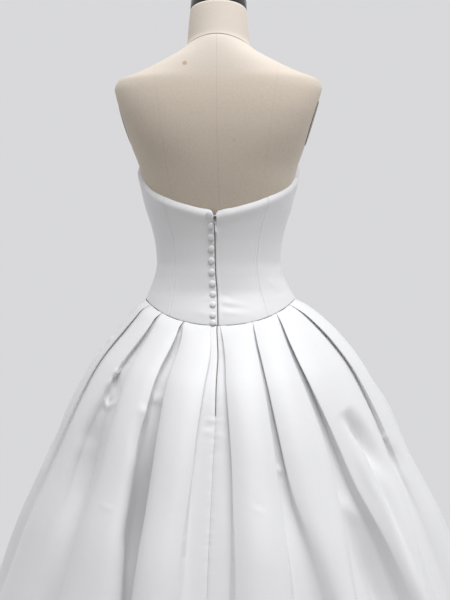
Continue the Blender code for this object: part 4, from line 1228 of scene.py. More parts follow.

# %% [markdown]
# ## Zip: tape and coil
#
# The zip is a woven tape with a nylon coil, sewn behind the centre back. Only the coil shows, as a
# line in the slot between the two edges; its near-black colour is painted shade, standing in for the
# shade down in the slot. A coil is a helix that is flattened, so its path is a wave across the slot
# and another wave in depth, carried down the zip, and a thin tube follows the path.

# %% Tape
ZIP_WIDTH = 0.022
ZIP_TAPE = 0.0005
ZIP_TOP = 1.160
TAPE_DEPTH = 0.00165        # how far the tape lies behind the middle of the wall
TAPE_BEND_HEIGHT = 1.06     # across its width the tape is bent as the bodice's back is here
TAPE_BEND_FOOT = 0.951      # down to this height, and flat below


def zip_path():
    """The line that the zip follows at the centre back, from its top to its end: the middle of the
    bodice's wall, then of the skirt's recess."""
    heights = np.linspace(ZIP_TOP, float(seam_height(0.0)) + 0.002, 60)
    bodice_line = bodice_point(back_angle(line_x(SLOT_LINE, heights), heights), heights)
    fall = np.linspace(0.003, ZIP_END_DROP, 60)
    skirt_line = skirt_point([0.0], fall)[:, 0]
    return np.concatenate([bodice_line, skirt_line])


def even_path(path, count):
    """The same path with its points at even distances."""
    run = np.concatenate([[0], np.cumsum(np.linalg.norm(np.diff(path, axis=0), axis=1))])
    at = np.linspace(0, run[-1], count)
    return np.stack([np.interp(at, run, path[:, i]) for i in range(3)], axis=1), run[-1]


def behind(path, depth):
    """A path down the centre back moved in towards the body, at right angles to itself."""
    along = unit(np.gradient(path, axis=0))
    inner = np.stack([0 * along[:, 0], -along[:, 2], along[:, 1]], axis=1)
    return path + depth * inner


zip_line, zip_length = even_path(zip_path(), 400)
evening = np.hanning(13) / np.hanning(13).sum()
longer_line = np.concatenate([zip_line[:1].repeat(6, 0), zip_line, zip_line[-1:].repeat(6, 0)])
for axis in (0, 1):
    zip_line[:, axis] = np.convolve(longer_line[:, axis], evening, mode="valid")
tape_line = behind(zip_line, TAPE_DEPTH)
across = np.linspace(-ZIP_WIDTH / 2, ZIP_WIDTH / 2, 13)
tape_grid = np.repeat(tape_line[:, None], len(across), axis=1)
tape_grid[..., 0] += across
bend = bodice_point(back_angle(across[None, :], TAPE_BEND_HEIGHT), TAPE_BEND_HEIGHT)[..., 1]
tape_grid[..., 1] += (bend - bend[:, len(across) // 2, None]) * (tape_grid[..., 2] > TAPE_BEND_FOOT)
zip_tape = lay_cloth("woven_zip_tape", tape_grid, ZIP_TAPE)
cuts["zip_tape"] = (ZIP_WIDTH, zip_length, flat_area(tape_grid))
print("zip tape", round(zip_length, 3), "m long")

# %% Coil
COIL_PITCH = 0.0014
COIL_HALF_WIDTH = 0.0011
COIL_HALF_DEPTH = 0.00022
COIL_WIRE = 0.00012
COIL_TOP = 1.144
COIL_DEPTH = 0.00100        # how far it lies behind the middle of the wall
COIL_STEPS = 10             # points of the path for each turn


def lay_coil():
    """A tube round a flat helix: x is a sine and the depth a cosine of the turn, and the tube's
    ring lies in the plane across the path."""
    line = behind(zip_line, COIL_DEPTH)
    line = line[line[:, 2] < COIL_TOP]
    turns = int(lengths_along(line[None], 1)[0, -1] / COIL_PITCH)
    path = even_path(line, turns * COIL_STEPS + 1)[0]
    phase = 2 * math.pi * np.arange(len(path)) / COIL_STEPS
    path[:, 0] += COIL_HALF_WIDTH * np.sin(phase)
    path[:, 1] += COIL_HALF_DEPTH * np.cos(phase)
    along = unit(np.gradient(path, axis=0))
    side = unit(np.cross(along, (0, 1, 0)))
    other = np.cross(along, side)
    around = full_turn(6)[None, :, None]
    ring = np.cos(around) * side[:, None] + np.sin(around) * other[:, None]
    grid = path[:, None] + COIL_WIRE * ring
    return face_out(lay_surface("nylon_zip_coil", grid, wrap=True, closed_ends=True)), turns


zip_coil, coil_turns = lay_coil()
print("zip coil with", coil_turns, "turns,", len(zip_coil.data.polygons), "faces")

# %% [markdown]
# ## Zip: slider and pull
#
# The slider is a small die-cast body with two ears that hold a pin, and the enamelled pull hangs
# from the pin. The pull is the one piece of the gown with a joint, so it rides on its own body.
# Every part of the two is a bar swept along a line: its section is a rounded square whose half
# width, half depth and squareness change along the way.

# %% Swept bars
SLIDER_HEIGHT = 1.1535
SLIDER_X = -0.0013
SLIDER_SIZE = (0.0054, 0.0020, 0.0120)
SLIDER_LIFT = 0.0003        # it stands this far off the cloth
SLIDER_TAPER = 0.20         # the pull's end is narrower by this share
SLIDER_THINNING = 0.42      # and thinner by this share, to let the pull swing
SLIDER_WAIST = (0.05, 0.35)     # how much narrower its middle is, and over which share
EAR_X = 0.0019
EAR_SIZE = (0.0005, 0.0015, 0.0043)     # half its width, half its height, and how far it stands out
EAR_ROOT = 0.0012           # it starts this far below the body's outer face
PULL_PIVOT_DROP = 0.0072
EAR_RISE = 0.0006           # and its middle is this much higher than the pin
PIN_RADIUS = 0.0005
EYE_HOLE_RADIUS = 0.00085
EYE_RADIUS = 0.00122
EYE_LENGTH = 0.0022
PULL_THICKNESS = 0.0012
PULL_SLANT = 0.22           # the tab hangs askew, away from the buttons
PULL_NECK = 0.006           # and straight down between the ears, about this far


def swept_bar(name, centres, half_widths, half_depths, wide, deep, squareness=4.0, columns=28):
    """A closed bar: at each centre, a ring whose two half sizes lie along the directions wide and
    deep, and whose points are powers of the sine and cosine."""
    around = full_turn(columns)[None, :, None]
    power = 2 / squareness
    ring = np.reshape(half_widths, (-1, 1, 1)) * soft_power(np.cos(around), power) * np.array(wide)
    ring = ring + np.reshape(half_depths, (-1, 1, 1)) * soft_power(np.sin(around), power) * np.array(deep)
    grid = np.array(centres)[:, None, :] + ring
    return face_out(lay_surface(name, grid, wrap=True, closed_ends=True))


def join_meshes(name, pieces):
    """One mesh object from several."""
    shell = bmesh.new()
    for piece in pieces:
        shell.from_mesh(piece.data)
        bpy.data.objects.remove(piece)
    mesh = bpy.data.meshes.new(name)
    shell.to_mesh(mesh)
    shell.free()
    mesh.shade_smooth()
    return set_out(name, mesh)


def ring_round(name, centre, inner, outer, length):
    """A barrel with a hole, its axis along X: a rounded oblong section carried round the axis."""
    corner = full_turn(20)
    along = 0.5 * length * soft_power(np.cos(corner), 0.5)
    radius = 0.5 * (inner + outer) + 0.5 * (outer - inner) * soft_power(np.sin(corner), 0.5)
    around = np.linspace(0, 2 * math.pi, 33)[:, None]
    grid = np.stack([centre[0] + along + 0 * around, centre[1] + radius * np.sin(around),
                     centre[2] + radius * np.cos(around)], axis=-1)
    return face_out(lay_surface(name, grid, wrap=True))


# %% Slider
spot, out, up = surface_frame(SLIDER_X, SLIDER_HEIGHT)
out = Vector((0, out.y, out.z)).normalized()
up = Vector((0, out.z, -out.y))
wide = Vector((1, 0, 0))
pivot = Vector(frame["joints"][0]["pos_m"])

# the high powers close the bar softly at both ends
share = np.linspace(-1, 1, 25)
pull_end = np.clip(-share, 0, 1) ** 2
body_half = 0.5 * SLIDER_SIZE[0] * (1 - SLIDER_TAPER * pull_end) * (1 - 0.5 * np.abs(share) ** 14)
body_half *= 1 - SLIDER_WAIST[0] * bell(share, SLIDER_WAIST[1])
body_deep = 0.5 * SLIDER_SIZE[1] * (1 - 0.6 * np.abs(share) ** 12) * (1 - SLIDER_THINNING * pull_end)
body_centres = [spot + out * (SLIDER_LIFT + deep) + up * (0.5 * SLIDER_SIZE[2] * s)
                for s, deep in zip(share, body_deep)]
slider_parts = [swept_bar("body", body_centres, body_half, body_deep, wide, out, 4.5)]

ear_share = np.linspace(0, 1, 12)
ear_half = np.full(len(ear_share), EAR_SIZE[0])
ear_high = EAR_SIZE[1] * np.sqrt(1 - (0.98 * ear_share) ** 8)
ear_foot = spot + out * (SLIDER_LIFT + SLIDER_SIZE[1] - EAR_ROOT) - up * (PULL_PIVOT_DROP - EAR_RISE)
for side in (-1, 1):
    ear_centres = [ear_foot + wide * (side * EAR_X) + out * (EAR_SIZE[2] * s) for s in ear_share]
    slider_parts.append(swept_bar("ear", ear_centres, ear_half, ear_high, wide, up, 5.0, 16))
pin_centres = [pivot + wide * (EAR_X * s) for s in np.linspace(-1, 1, 9)]
pin_half = np.full(len(pin_centres), PIN_RADIUS)
slider_parts.append(swept_bar("pin", pin_centres, pin_half, pin_half, out, up, 2.0, 16))
zip_slider = join_meshes("cast_zip_slider", slider_parts)
print("slider", [round(1000 * s, 2) for s in zip_slider.dimensions], "mm")

# %% Pull
# distance below the pivot and half the width there
PULL_OUTLINE = ((0.0006, 0.0008), (0.0040, 0.0008), (0.0080, 0.0014), (0.0120, 0.0023),
                (0.0150, 0.0027), (0.0170, 0.0022), (0.0180, 0.0013), (0.0185, 0.0004))
PULL_RINGS = ((0.0007, 0.0165, 30), (0.0168, 0.0185, 10))   # from, to and how many rings
PULL_END = (0.01852, 0.0008)    # where its rounded end stops, and how long the rounding is
fall = np.concatenate([np.linspace(*stretch) for stretch in PULL_RINGS])
half = smooth(*np.array(PULL_OUTLINE).T, fall)
rounding = np.sqrt(np.clip((PULL_END[0] - fall) / PULL_END[1], 0, 1))
deep = 0.5 * PULL_THICKNESS * np.minimum(1, rounding + 0.15)
pull_centres = [pivot + Vector((PULL_SLANT * f / (f + PULL_NECK), 0, -1)) * f for f in fall]
plate = swept_bar("plate", pull_centres, half, deep, wide, Vector((0, 1, 0)), 3.0, 32)
barrel = ring_round("barrel", pivot, EYE_HOLE_RADIUS, EYE_RADIUS, EYE_LENGTH)
zip_pull = join_meshes("enamel_zip_pull", [plate, barrel])
print("pull", [round(1000 * s, 2) for s in zip_pull.dimensions], "mm")

# %% [markdown]
# ## Stitches below the zip
#
# Below the zip the centre back is closed by hand with short stitches across the seam. Each stitch
# is a tiny bent bar of thread. One stitch is worked out once as a grid, and adding the places of
# all the stitches to it gives every point of the row at once.

# %% A row of stitches
STITCH_PITCH = 0.0065
STITCH_LENGTH = 0.0019
STITCH_THICKNESS = 0.00022
STITCH_BEND = 0.00035       # how high its middle stands over its ends
STITCH_SLANT = 0.0004       # how much lower one end is than the other
STITCH_DEPTH = 0.0002       # the row lies this far behind the middle of the wall, down in the seam
STITCH_RINGS = 6
STITCH_SIDES = 6
STITCHED_LENGTH = 0.75
STITCH_DROPS = (ZIP_END_DROP + 0.012, 0.975)


def lay_stitches():
    """Bars of thread across the seam: a half sine bends each one over it, and its ring thins out
    at both ends."""
    fall = np.linspace(*STITCH_DROPS, 300)
    path = even_path(skirt_point([0.0], fall)[:, 0], int(STITCHED_LENGTH / STITCH_PITCH))[0]
    line = behind(path, STITCH_DEPTH)
    share = np.linspace(0, 1, STITCH_RINGS)[:, None]
    around = full_turn(STITCH_SIDES)[None, :]
    thick = STITCH_THICKNESS * np.sqrt(np.sin(math.pi * (0.06 + 0.88 * share)))
    x = STITCH_LENGTH * (share - 0.5) + 0 * around
    y = -STITCH_BEND * np.sin(math.pi * share) - thick * np.cos(around)
    z = thick * np.sin(around) + STITCH_SLANT * (share - 0.5)
    one = np.stack([x, y, z], axis=-1).reshape(-1, 3)
    points = line[:, None] + one[None]
    quads = np.arange(len(one)).reshape(STITCH_RINGS, STITCH_SIDES)
    wrapped = np.concatenate([quads, quads[:, :1]], axis=1)
    first = len(one) * np.arange(len(line))[:, None]
    faces = (around_quads(wrapped).reshape(-1, 4) + first[:, None]).reshape(-1, 4).tolist()
    faces += (first + quads[0, ::-1]).tolist() + (first + quads[-1]).tolist()
    mesh = bpy.data.meshes.new("seam_stitches")
    mesh.from_pydata(points.reshape(-1, 3).tolist(), [], faces)
    return face_out(set_out("seam_stitches", mesh)), len(line)


stitches, stitch_count = lay_stitches()
print(stitch_count, "stitches")

# %% [markdown]
# ## Pole and base
#
# The form stands on a steel pole in a heavy round base. Both are turned pieces: a profile of
# (radius, height) carried round the Z axis. The profile gets small steps at the rims, so that light
# catches a rounded edge and not a knife edge.

# %% Turned stand
POLE_RADIUS = 0.016
POLE_EDGE = 0.001           # the chamfer at both ends
BASE_RADIUS = 0.210
BASE_THICKNESS = 0.018
BASE_UNDERSIDE = 0.003      # the flat underside ends this far in from the rim
BASE_ROUND = (0.002, 0.007)     # radius of the rim's rounding, below and above
BASE_RIM_DROP = 0.008       # the upper rounding's centre is this far below the top
BASE_TOP = ((0.93, 0.0006), (0.86, 0.0), (0.5, 0.0), (0.0, 0.0))    # share of the radius, and drop


def turned_piece(name, outline, columns):
    """Carry an outline of (radius, height) round the Z axis."""
    around = full_turn(columns)[None, :]
    radius, height = np.array(outline, float).T[..., None]
    grid = np.stack([radius * np.cos(around), radius * np.sin(around), height + 0 * around], axis=-1)
    return face_out(lay_surface(name, grid, wrap=True))


def rounded_corner(radius, height, size, start, count=5):
    """Points of a quarter circle inside the corner at (radius, height)."""
    turn = np.radians(start) + np.linspace(0, math.pi / 2, count)
    return [(radius + size * math.cos(t), height + size * math.sin(t)) for t in turn]


top, foot = FORM_BOTTOM - FIT_GAP, BASE_THICKNESS + FIT_GAP
pole_outline = [(0, foot), (POLE_RADIUS - POLE_EDGE, foot), (POLE_RADIUS, foot + POLE_EDGE)]
pole_outline += [(POLE_RADIUS, 0.3), (POLE_RADIUS, 0.6)]
pole_outline += [(POLE_RADIUS, top - POLE_EDGE), (POLE_RADIUS - POLE_EDGE, top), (0, top)]
pole = turned_piece("steel_pole", pole_outline, 64)
low, high = BASE_ROUND
base_outline = [(0, 0), (BASE_RADIUS - BASE_UNDERSIDE, 0)]
base_outline += rounded_corner(BASE_RADIUS - low, low, low, -90)
base_outline += rounded_corner(BASE_RADIUS - high, BASE_THICKNESS - BASE_RIM_DROP, high, 0, 9)
base_outline += [(share * BASE_RADIUS, BASE_THICKNESS - drop) for share, drop in BASE_TOP]
base = turned_piece("round_base", base_outline, 160)
print("base", [round(s, 3) for s in base.dimensions])

# %% [markdown]
# ## Writing materials as sums
#
# A material is a graph of nodes. Written node by node it is hard to read, so a small class wraps
# one output, and the usual signs add the Math nodes: 1 - mask is one node. Every other node comes
# from one method, which takes its type, its settings and what goes into its sockets.

# %% Wires and finishes
class Wire:
    """One output of a node. Arithmetic on wires and numbers adds Math nodes."""

    def __init__(self, finish, socket):
        self.finish = finish
        self.socket = socket

    def join(self, operation, first, second=0.0):
        return self.finish.add("ShaderNodeMath", {"operation": operation}, {0: first, 1: second})

    def __add__(self, other):
        return self.join("ADD", self, other)

    def __radd__(self, other):
        return self.join("ADD", other, self)

    def __sub__(self, other):
        return self.join("SUBTRACT", self, other)

    def __rsub__(self, other):
        return self.join("SUBTRACT", other, self)

    def __mul__(self, other):
        return self.join("MULTIPLY", self, other)

    def __truediv__(self, other):
        return self.join("DIVIDE", self, other)

    def __abs__(self):
        return self.join("ABSOLUTE", self)

    def sine(self):
        return self.join("SINE", self)

    def wave(self, length):
        """A sine wave that repeats at every length of this wire."""
        return (self * (2 * math.pi / length)).sine()

    def higher(self, other):
        return self.join("MAXIMUM", self, other)


class Finish:
    """A procedural material round one Principled shader."""

    def __init__(self, name, **constants):
        self.material = bpy.data.materials.new(name)
        self.material.use_nodes = True
        self.tree = self.material.node_tree
        self.shader = self.tree.nodes["Principled BSDF"]
        for socket, value in constants.items():
            self.shader.inputs[socket.replace("_", " ")].default_value = value

    def add(self, kind, settings=None, sockets=None, output=0):
        """Add a node of a kind: its settings first, then a value or a wire for each socket."""
        node = self.tree.nodes.new(kind)
        for name, value in (settings or {}).items():
            setattr(node, name, value)
        for key, value in (sockets or {}).items():
            self.plug(node.inputs[key], value)
        return Wire(self, node.outputs[output])

    def plug(self, socket, value):
        if isinstance(value, Wire):
            self.tree.links.new(value.socket, socket)
        else:
            socket.default_value = value

    def surface(self, **wires):
        """Link what changes over the surface into the shader."""
        for socket, wire in wires.items():
            self.plug(self.shader.inputs[socket.replace("_", " ")], wire)
        return self.material

    def place(self):
        """The point's own place on the object, in metres."""
        return self.add("ShaderNodeTexCoord", output="Object")

    def cloth(self):
        """Metres across and down the cloth."""
        return self.add("ShaderNodeUVMap", {"uv_map": "cloth"})

    def split(self, vector):
        """The three numbers of a vector."""
        node = self.add("ShaderNodeSeparateXYZ", sockets={0: vector}).socket.node
        return [Wire(self, output) for output in node.outputs]

    def stretch(self, vector, scale):
        """A vector times another, axis by axis."""
        return self.add("ShaderNodeVectorMath", {"operation": "MULTIPLY"}, {0: vector, 1: scale})

    def noise(self, vector, scale, detail=2.0, roughness=0.5):
        """Smooth random bumps, about 1 / scale metres apart."""
        sockets = {"Vector": vector, "Scale": scale, "Detail": detail, "Roughness": roughness}
        return self.add("ShaderNodeTexNoise", sockets=sockets)

    def step(self, value, low, high):
        """From 0 at low to 1 at high, level at both ends."""
        return self.add("ShaderNodeMapRange", {"interpolation_type": "SMOOTHSTEP"},
                        {"Value": value, "From Min": low, "From Max": high})

    def stored(self, name):
        """A number stored with each point of the piece."""
        return self.add("ShaderNodeAttribute", {"attribute_name": name}, output="Fac")

    def blend(self, factor, first, second):
        """A colour between two colours, each a wire or three numbers."""
        first, second = (end if isinstance(end, Wire) else (*end, 1) for end in (first, second))
        return self.add("ShaderNodeMix", {"data_type": "RGBA"}, {0: factor, 6: first, 7: second}, 2)

    def bump(self, height, distance, strength=1.0):
        """A normal that leans with a height, which is worth distance metres where it is 1."""
        return self.add("ShaderNodeBump", sockets={"Height": height, "Distance": distance,
                                                   "Strength": strength})


# %% [markdown]
# ## Satin and lining
#
# Duchess satin is woven so that long warp threads float on its face. They lie down the cloth and
# give it a soft gloss. The threads are finer than half a millimetre, so they are a pattern on the
# cloth's own map and not a mesh. A slower unevenness keeps the large bands from looking like
# plastic. The inner side is a cream lining with a plain weave.

# %% Satin and lining
THREAD = 0.00042
FLOAT_LENGTH = 0.0021
FLOAT_SLANT = 0.4           # each thread's floats start this share of a float later than its neighbour's
SATIN_TONES = ((0.775, 0.775, 0.790), (0.815, 0.815, 0.830))
LINING_THREAD = 0.0006
LINING_TONES = ((0.88, 0.83, 0.74), (0.92, 0.88, 0.80))


def satin_finish():
    """White satin: a wave across the warp threads, whose floats end in staggered places."""
    finish = Finish("duchess_satin", Sheen_Weight=0.12, Sheen_Roughness=0.45, Specular_IOR_Level=0.42)
    cloth = finish.cloth()
    across, down, _ = finish.split(cloth)
    warp = across.wave(THREAD)
    floats = (down * (2 * math.pi / FLOAT_LENGTH) + across * (2 * math.pi * FLOAT_SLANT / THREAD)).sine()
    threads = warp * 0.5 + floats * 0.35
    body = finish.noise(finish.place(), 38.0, 2.0, 0.45)
    grain = finish.noise(finish.stretch(cloth, (900.0, 300.0, 1.0)), 1.0, 2.0, 0.6)
    height = threads * 0.01 + grain * 0.03 + body * 1.2
    return finish.surface(Base_Color=finish.blend(grain, *SATIN_TONES),
                          Roughness=0.40 + grain * 0.08 - warp * 0.02,
                          Normal=finish.bump(height, 0.0010, 0.35))


def lining_finish():
    """Cream lining: a plain weave, from a wave across and a wave down the cloth."""
    finish = Finish("cream_lining", Sheen_Weight=0.1, Specular_IOR_Level=0.3)
    across, down, _ = finish.split(finish.cloth())
    weave = across.wave(LINING_THREAD) * down.wave(LINING_THREAD)
    tone = finish.noise(finish.place(), 60.0, 3.0, 0.5)
    return finish.surface(Base_Color=finish.blend(tone, *LINING_TONES), Roughness=0.62 + weave * 0.05,
                          Normal=finish.bump(weave * 0.5 + tone, 0.0003, 0.4))


def put_on(pieces, *finishes):
    """Give pieces their finishes: one for the right side, and for cloth one for the inner side."""
    for piece in pieces:
        for finish in finishes:
            piece.data.materials.append(finish)


satin, lining = satin_finish(), lining_finish()
put_on(bodice.values(), satin, lining)
put_on(gores.values(), satin, satin)
put_on(buttons, satin)
print("satin nodes:", len(satin.node_tree.nodes))

# %% [markdown]
# ## Linen of the dress form
#
# The form's cover is beige linen, a plain weave with slubs. Its seams are dark thin lines where
# the two panels turn in, with a slight hollow. An old form also has marks: there is one small
# brown spot on the left shoulder and a fainter one near the middle, which stay because they belong
# to this form.

# %% Linen
# x, height, size and strength of each mark on the back
MARKS = ((-0.0590, 1.4440, 0.0058, 0.62), (0.0345, 1.2975, 0.0040, 0.22))
PAINTED_TOP_LIGHT_HEIGHTS = (1.395, 1.465)   # painted light: the linen is lightened from here, and fully above, where the overhead light falls
LINEN_TONES = ((0.560, 0.482, 0.394), (0.700, 0.620, 0.526))
CLOUD_TONE = (0.60, 0.545, 0.47)
SPECK_TONE = (0.47, 0.395, 0.315)
PAINTED_TOP_LIGHT_TONE = (0.86, 0.79, 0.72)
SEAM_TONE = (0.16, 0.11, 0.08)
MARK_TONE = (0.42, 0.24, 0.12)
# name, half width and strength of each seam's line
LINEN_SEAMS = (("princess_seam", 0.0004, 0.12), ("middle_seam", 0.0005, 0.17),
               ("side_seam", 0.0004, 0.20), ("neck_seam", 0.0008, 1.00))


def linen_finish():
    """Beige linen: crossed waves for the weave, stretched noise for slubs, and the stored seam
    distances for the seams."""
    finish = Finish("beige_linen", Sheen_Weight=0.18, Sheen_Roughness=0.5, Specular_IOR_Level=0.25)
    place = finish.place()
    x, y, z = finish.split(place)
    slub = finish.noise(finish.stretch(place, (260.0, 260.0, 1500.0)), 1.0, 3.0, 0.6)
    slub_2 = finish.noise(finish.stretch(place, (1500.0, 1500.0, 260.0)), 1.0, 3.0, 0.6)
    cloud = finish.noise(place, 14.0, 3.0, 0.5)
    speck = finish.step(finish.noise(place, 330.0, 2.0, 0.6), 0.35, 0.75)
    weave = slub * 0.5 + slub_2 * 0.5
    line = 0.0
    for name, half, strength in LINEN_SEAMS:
        distance = abs(finish.stored(name))
        line = ((1 - finish.step(distance, 0.3 * half, 2.2 * half)) * strength).higher(line)
    colour = finish.blend(weave, *LINEN_TONES)
    # the blend towards the lighter top tone is painted light: shoulders and neck lit from overhead
    for amount, tone in ((cloud * 0.25, CLOUD_TONE), (speck * 0.30, SPECK_TONE),
                         (finish.step(z, *PAINTED_TOP_LIGHT_HEIGHTS) * 0.45, PAINTED_TOP_LIGHT_TONE),
                         (line * 0.85, SEAM_TONE)):
        colour = finish.blend(amount, colour, tone)
    for mark_x, mark_z, size, strength in MARKS:
        away = ((x - mark_x) * (x - mark_x) + (z - mark_z) * (z - mark_z)) / (size * size)
        spot = (1 - finish.step(away, 0.0, 1.0)) * finish.step(0 - y, 0.0, 0.01)
        colour = finish.blend(spot * strength, colour, MARK_TONE)
    height = weave * 1.0 - line * 1.6 + cloud * 0.6
    return finish.surface(Base_Color=colour, Roughness=0.78 + weave * 0.12,
                          Normal=finish.bump(height, 0.0006, 0.45))


put_on([form_cover], linen_finish())
print("linen:", len(form_cover.data.materials[0].node_tree.nodes), "nodes")

# %% [markdown]
# ## Hard finishes
#
# Gloss black for the neck cap, dark brown enamel for the arm plates, brushed steel for the pole,
# powder coat for the base, woven tape, nylon coil, nickel, enamel and thread for the zip. The coil's
# near-black colour is painted shade, for the shade down in the zip's slot. Each one has the fine
# unevenness that the real finish shows: orange peel in the coat, draw lines along the steel, pits in
# the casting.

# %% Hard finishes
STEEL_TONES = ((0.50, 0.50, 0.50), (0.66, 0.66, 0.66))
TAPE_TONES = ((0.60, 0.59, 0.57), (0.74, 0.73, 0.71))
TWILL_LENGTH = 0.0008
TWILL_RIB = 0.0030


def coated(name, dark, light, roughness, grain_size, depth, **constants):
    """A coat whose colour, gloss and surface change a little with fine noise."""
    finish = Finish(name, **constants)
    place = finish.place()
    grain = finish.noise(place, 1 / grain_size, 2.0, 0.5)
    wear = finish.noise(place, 18.0, 3.0, 0.55)
    return finish.surface(Base_Color=finish.blend(wear, dark, light),
                          Roughness=roughness + (grain - 0.5) * 0.10 + (wear - 0.5) * 0.08,
                          Normal=finish.bump(grain, depth, 0.5))


def brushed_steel():
    """Steel with draw lines: noise that is stretched a hundred times along the pole."""
    finish = Finish("brushed_steel", Metallic=1.0)
    lines = finish.noise(finish.stretch(finish.place(), (1800.0, 1800.0, 18.0)), 1.0, 2.0, 0.6)
    return finish.surface(Base_Color=finish.blend(lines, *STEEL_TONES), Roughness=0.26 + lines * 0.16,
                          Normal=finish.bump(lines, 0.00004, 0.5))


def woven_tape():
    """Tape: a herringbone, from a wave whose slant turns over at each rib."""
    finish = Finish("woven_tape", Specular_IOR_Level=0.3)
    across, down, _ = finish.split(finish.cloth())
    twill = (down * (2 * math.pi / TWILL_LENGTH) + across.wave(TWILL_RIB) * 2.5).sine()
    colour = finish.blend(twill * 0.5 + 0.5, *TAPE_TONES)
    return finish.surface(Base_Color=colour, Roughness=0.75 + twill * 0.05,
                          Normal=finish.bump(twill, 0.00008, 0.6))


# pieces; name, darker and lighter tone, roughness, size of the grain and its depth; other settings
COATS = (
    ([cap], "gloss_black", (0.012, 0.012, 0.012), (0.022, 0.021, 0.020), 0.12, 0.0015, 0.00001,
     {"Coat_Weight": 0.5, "Coat_Roughness": 0.05}),
    (arm_plates.values(), "brown_enamel", (0.220, 0.165, 0.130), (0.300, 0.235, 0.190),
     0.38, 0.0010, 0.00003, {}),
    ([base], "black_powder_coat", (0.016, 0.016, 0.016), (0.030, 0.030, 0.030),
     0.48, 0.0009, 0.00008, {}),
    # painted shade: the coil is near black to stand in for the shade down in the zip's slot
    ([zip_coil], "nylon_coil", (0.050, 0.042, 0.036), (0.090, 0.078, 0.066),
     0.35, 0.0006, 0.00001, {}),
    ([zip_slider], "nickel", (0.34, 0.33, 0.32), (0.48, 0.47, 0.45), 0.28, 0.0007, 0.00002,
     {"Metallic": 1.0}),
    ([zip_pull], "white_enamel", (0.76, 0.76, 0.76), (0.84, 0.84, 0.84), 0.22, 0.0009, 0.00001,
     {"Coat_Weight": 0.3, "Coat_Roughness": 0.1}),
    ([stitches], "sewing_thread", (0.78, 0.78, 0.79), (0.86, 0.86, 0.87), 0.55, 0.0004, 0.00003, {}),
)
for pieces, *coat, settings in COATS:
    put_on(pieces, coated(*coat, **settings))
put_on([pole], brushed_steel())
put_on([zip_tape], woven_tape())
print(len(bpy.data.materials), "materials in the file")

# %% [markdown]
# ## Tie every piece to the frame
#
# Each piece rides on the body that carries it and stands for its plain solid, which is hidden. The
# pull rides on its own body. The coil and the stitches have no plain solid, so they only ride.

# %% Ride and replace
def stand_for(piece, node, body="gown"):
    """The piece moves with its body and is shown in place of a plain solid."""
    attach(piece, body)
    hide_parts(node)


stand_for(form_cover, "dress_form")
stand_for(cap, "neck_cap")
stand_for(arm_plates[-1], "arm_plate_left")
stand_for(arm_plates[1], "arm_plate_right")
stand_for(pole, "pole")
stand_for(base, "base")
for name, panel in bodice.items():
    stand_for(panel, name)
for name, gore in gores.items():
    stand_for(gore, "skirt_" + name)
for number, button in enumerate(buttons):
    stand_for(button, "button_%02d" % (number + 1))
stand_for(zip_tape, "zip_tape")
stand_for(zip_slider, "zip_slider")
stand_for(zip_pull, "zip_pull", "pull")
for piece, slot in ((zip_coil, "zip_tape"), (stitches, "satin")):
    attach(piece, "gown")

for name, panel in bodice.items():
    width, length, area = cuts[name]
for name, gore in gores.items():
    width, length, area = cuts["skirt_" + name]

# %% [markdown]
# ## Floor, light and camera
#
# The gown stands on a pale round floor before a pale even wall, and the room behind the camera is
# dim. A wide soft light hangs overhead, on the camera's side and a little to the right, so the
# slopes of the skirt are the brightest and its recesses fall into soft shade. The camera is at the
# height of the waist, three metres behind the gown and three degrees to the right. White satin
# needs every step of tone near white, so the view keeps plain tones.

# %% Floor
FLOOR_DROP = 0.0002         # a hair under the base
FLOOR_OUTLINE = ((0.0, 0.0), (0.3, 0.0), (0.7, 0.0), (1.2, 0.0), (1.75, 0.0), (1.86, -0.001),
                 (1.90, -0.006), (1.90, -0.02), (0.0, -0.02))
floor = turned_piece("pale_floor", [(out, up - FLOOR_DROP) for out, up in FLOOR_OUTLINE], 128)
put_on([floor], coated("pale_floor", (0.66, 0.66, 0.66), (0.70, 0.70, 0.70), 0.55, 0.004, 0.0001))
floor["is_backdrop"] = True

# %% Light
ROOM = (0.692, 0.692, 0.706)         # the lit wall behind the gown
DIM_ROOM = (0.166, 0.150, 0.136)     # the dim room behind the camera
WALL_EDGE = (-0.97, 0.12)            # cosine of the angle from +Y where the lit wall starts, and is full
SOFTBOX_PLACE = (0.80, -1.55, 4.80)
SOFTBOX_TARGET = (0.0, 0.0, 0.9)
SOFTBOX_SIZE = 3.3
SOFTBOX_WATTS = 183
SOFTBOX_TONE = (0.97, 0.985, 1.0)
world = bpy.data.worlds.new("pale_room")
world.use_nodes = True
nodes, links = world.node_tree.nodes, world.node_tree.links
way = nodes.new("ShaderNodeTexCoord")
parts = nodes.new("ShaderNodeSeparateXYZ")
wall = nodes.new("ShaderNodeMapRange")
wall.interpolation_type = "SMOOTHSTEP"
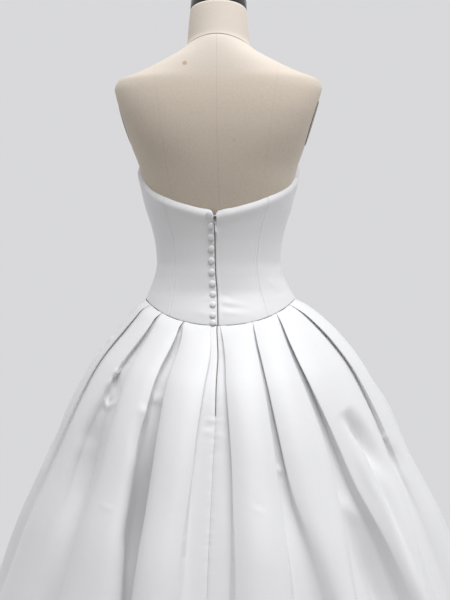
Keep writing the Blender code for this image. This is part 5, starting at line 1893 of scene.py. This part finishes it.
wall.inputs["From Min"].default_value = WALL_EDGE[0]
wall.inputs["From Max"].default_value = WALL_EDGE[1]
mix = nodes.new("ShaderNodeMix")
mix.data_type = "RGBA"
mix.inputs[6].default_value = (*DIM_ROOM, 1)
mix.inputs[7].default_value = (*ROOM, 1)
links.new(way.outputs["Generated"], parts.inputs[0])
links.new(parts.outputs["Y"], wall.inputs["Value"])
links.new(wall.outputs[0], mix.inputs[0])
links.new(mix.outputs[2], nodes["Background"].inputs["Color"])
scene.world = world
scene.view_settings.view_transform = "Standard"


def hang_light(name, place, target, size, watts, colour):
    """A square soft light that faces a target."""
    lamp = bpy.data.lights.new(name, "AREA")
    lamp.size = size
    lamp.energy = watts
    lamp.color = colour
    holder = set_out(name, lamp)
    holder.location = place
    holder.rotation_euler = (Vector(target) - Vector(place)).to_track_quat("-Z", "Y").to_euler()
    return holder


hang_light("overhead_softbox", SOFTBOX_PLACE, SOFTBOX_TARGET, SOFTBOX_SIZE, SOFTBOX_WATTS, SOFTBOX_TONE)

# %% Camera
CAMERA_DISTANCE = 3.0
CAMERA_TURN = math.radians(3)
CAMERA_HEIGHT = 1.05
LOOK_HEIGHT = 1.0
LOOK_ASIDE = 0.0125         # the gown stands a little left of the middle of the view
LENS = 93.6
right = Vector((math.cos(CAMERA_TURN), math.sin(CAMERA_TURN), 0))
lens = bpy.data.cameras.new("camera")
lens.lens = LENS
lens.sensor_width = 36
camera = set_out("camera", lens)
camera.location = (CAMERA_DISTANCE * math.sin(CAMERA_TURN), -CAMERA_DISTANCE * math.cos(CAMERA_TURN),
                   CAMERA_HEIGHT)
aim = Vector((0, 0, LOOK_HEIGHT)) + right * LOOK_ASIDE
camera.rotation_euler = (aim - camera.location).to_track_quat("-Z", "Y").to_euler()
scene.camera = camera

# %% Sizes, and the end
visual_box = [list(corner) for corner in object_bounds()]
grown = [round(1000 * (v - c), 1) for c, v in zip(sum(cad_box, []), sum(visual_box, []))]
print("the visual model's box differs from the CAD box by", grown, "mm")
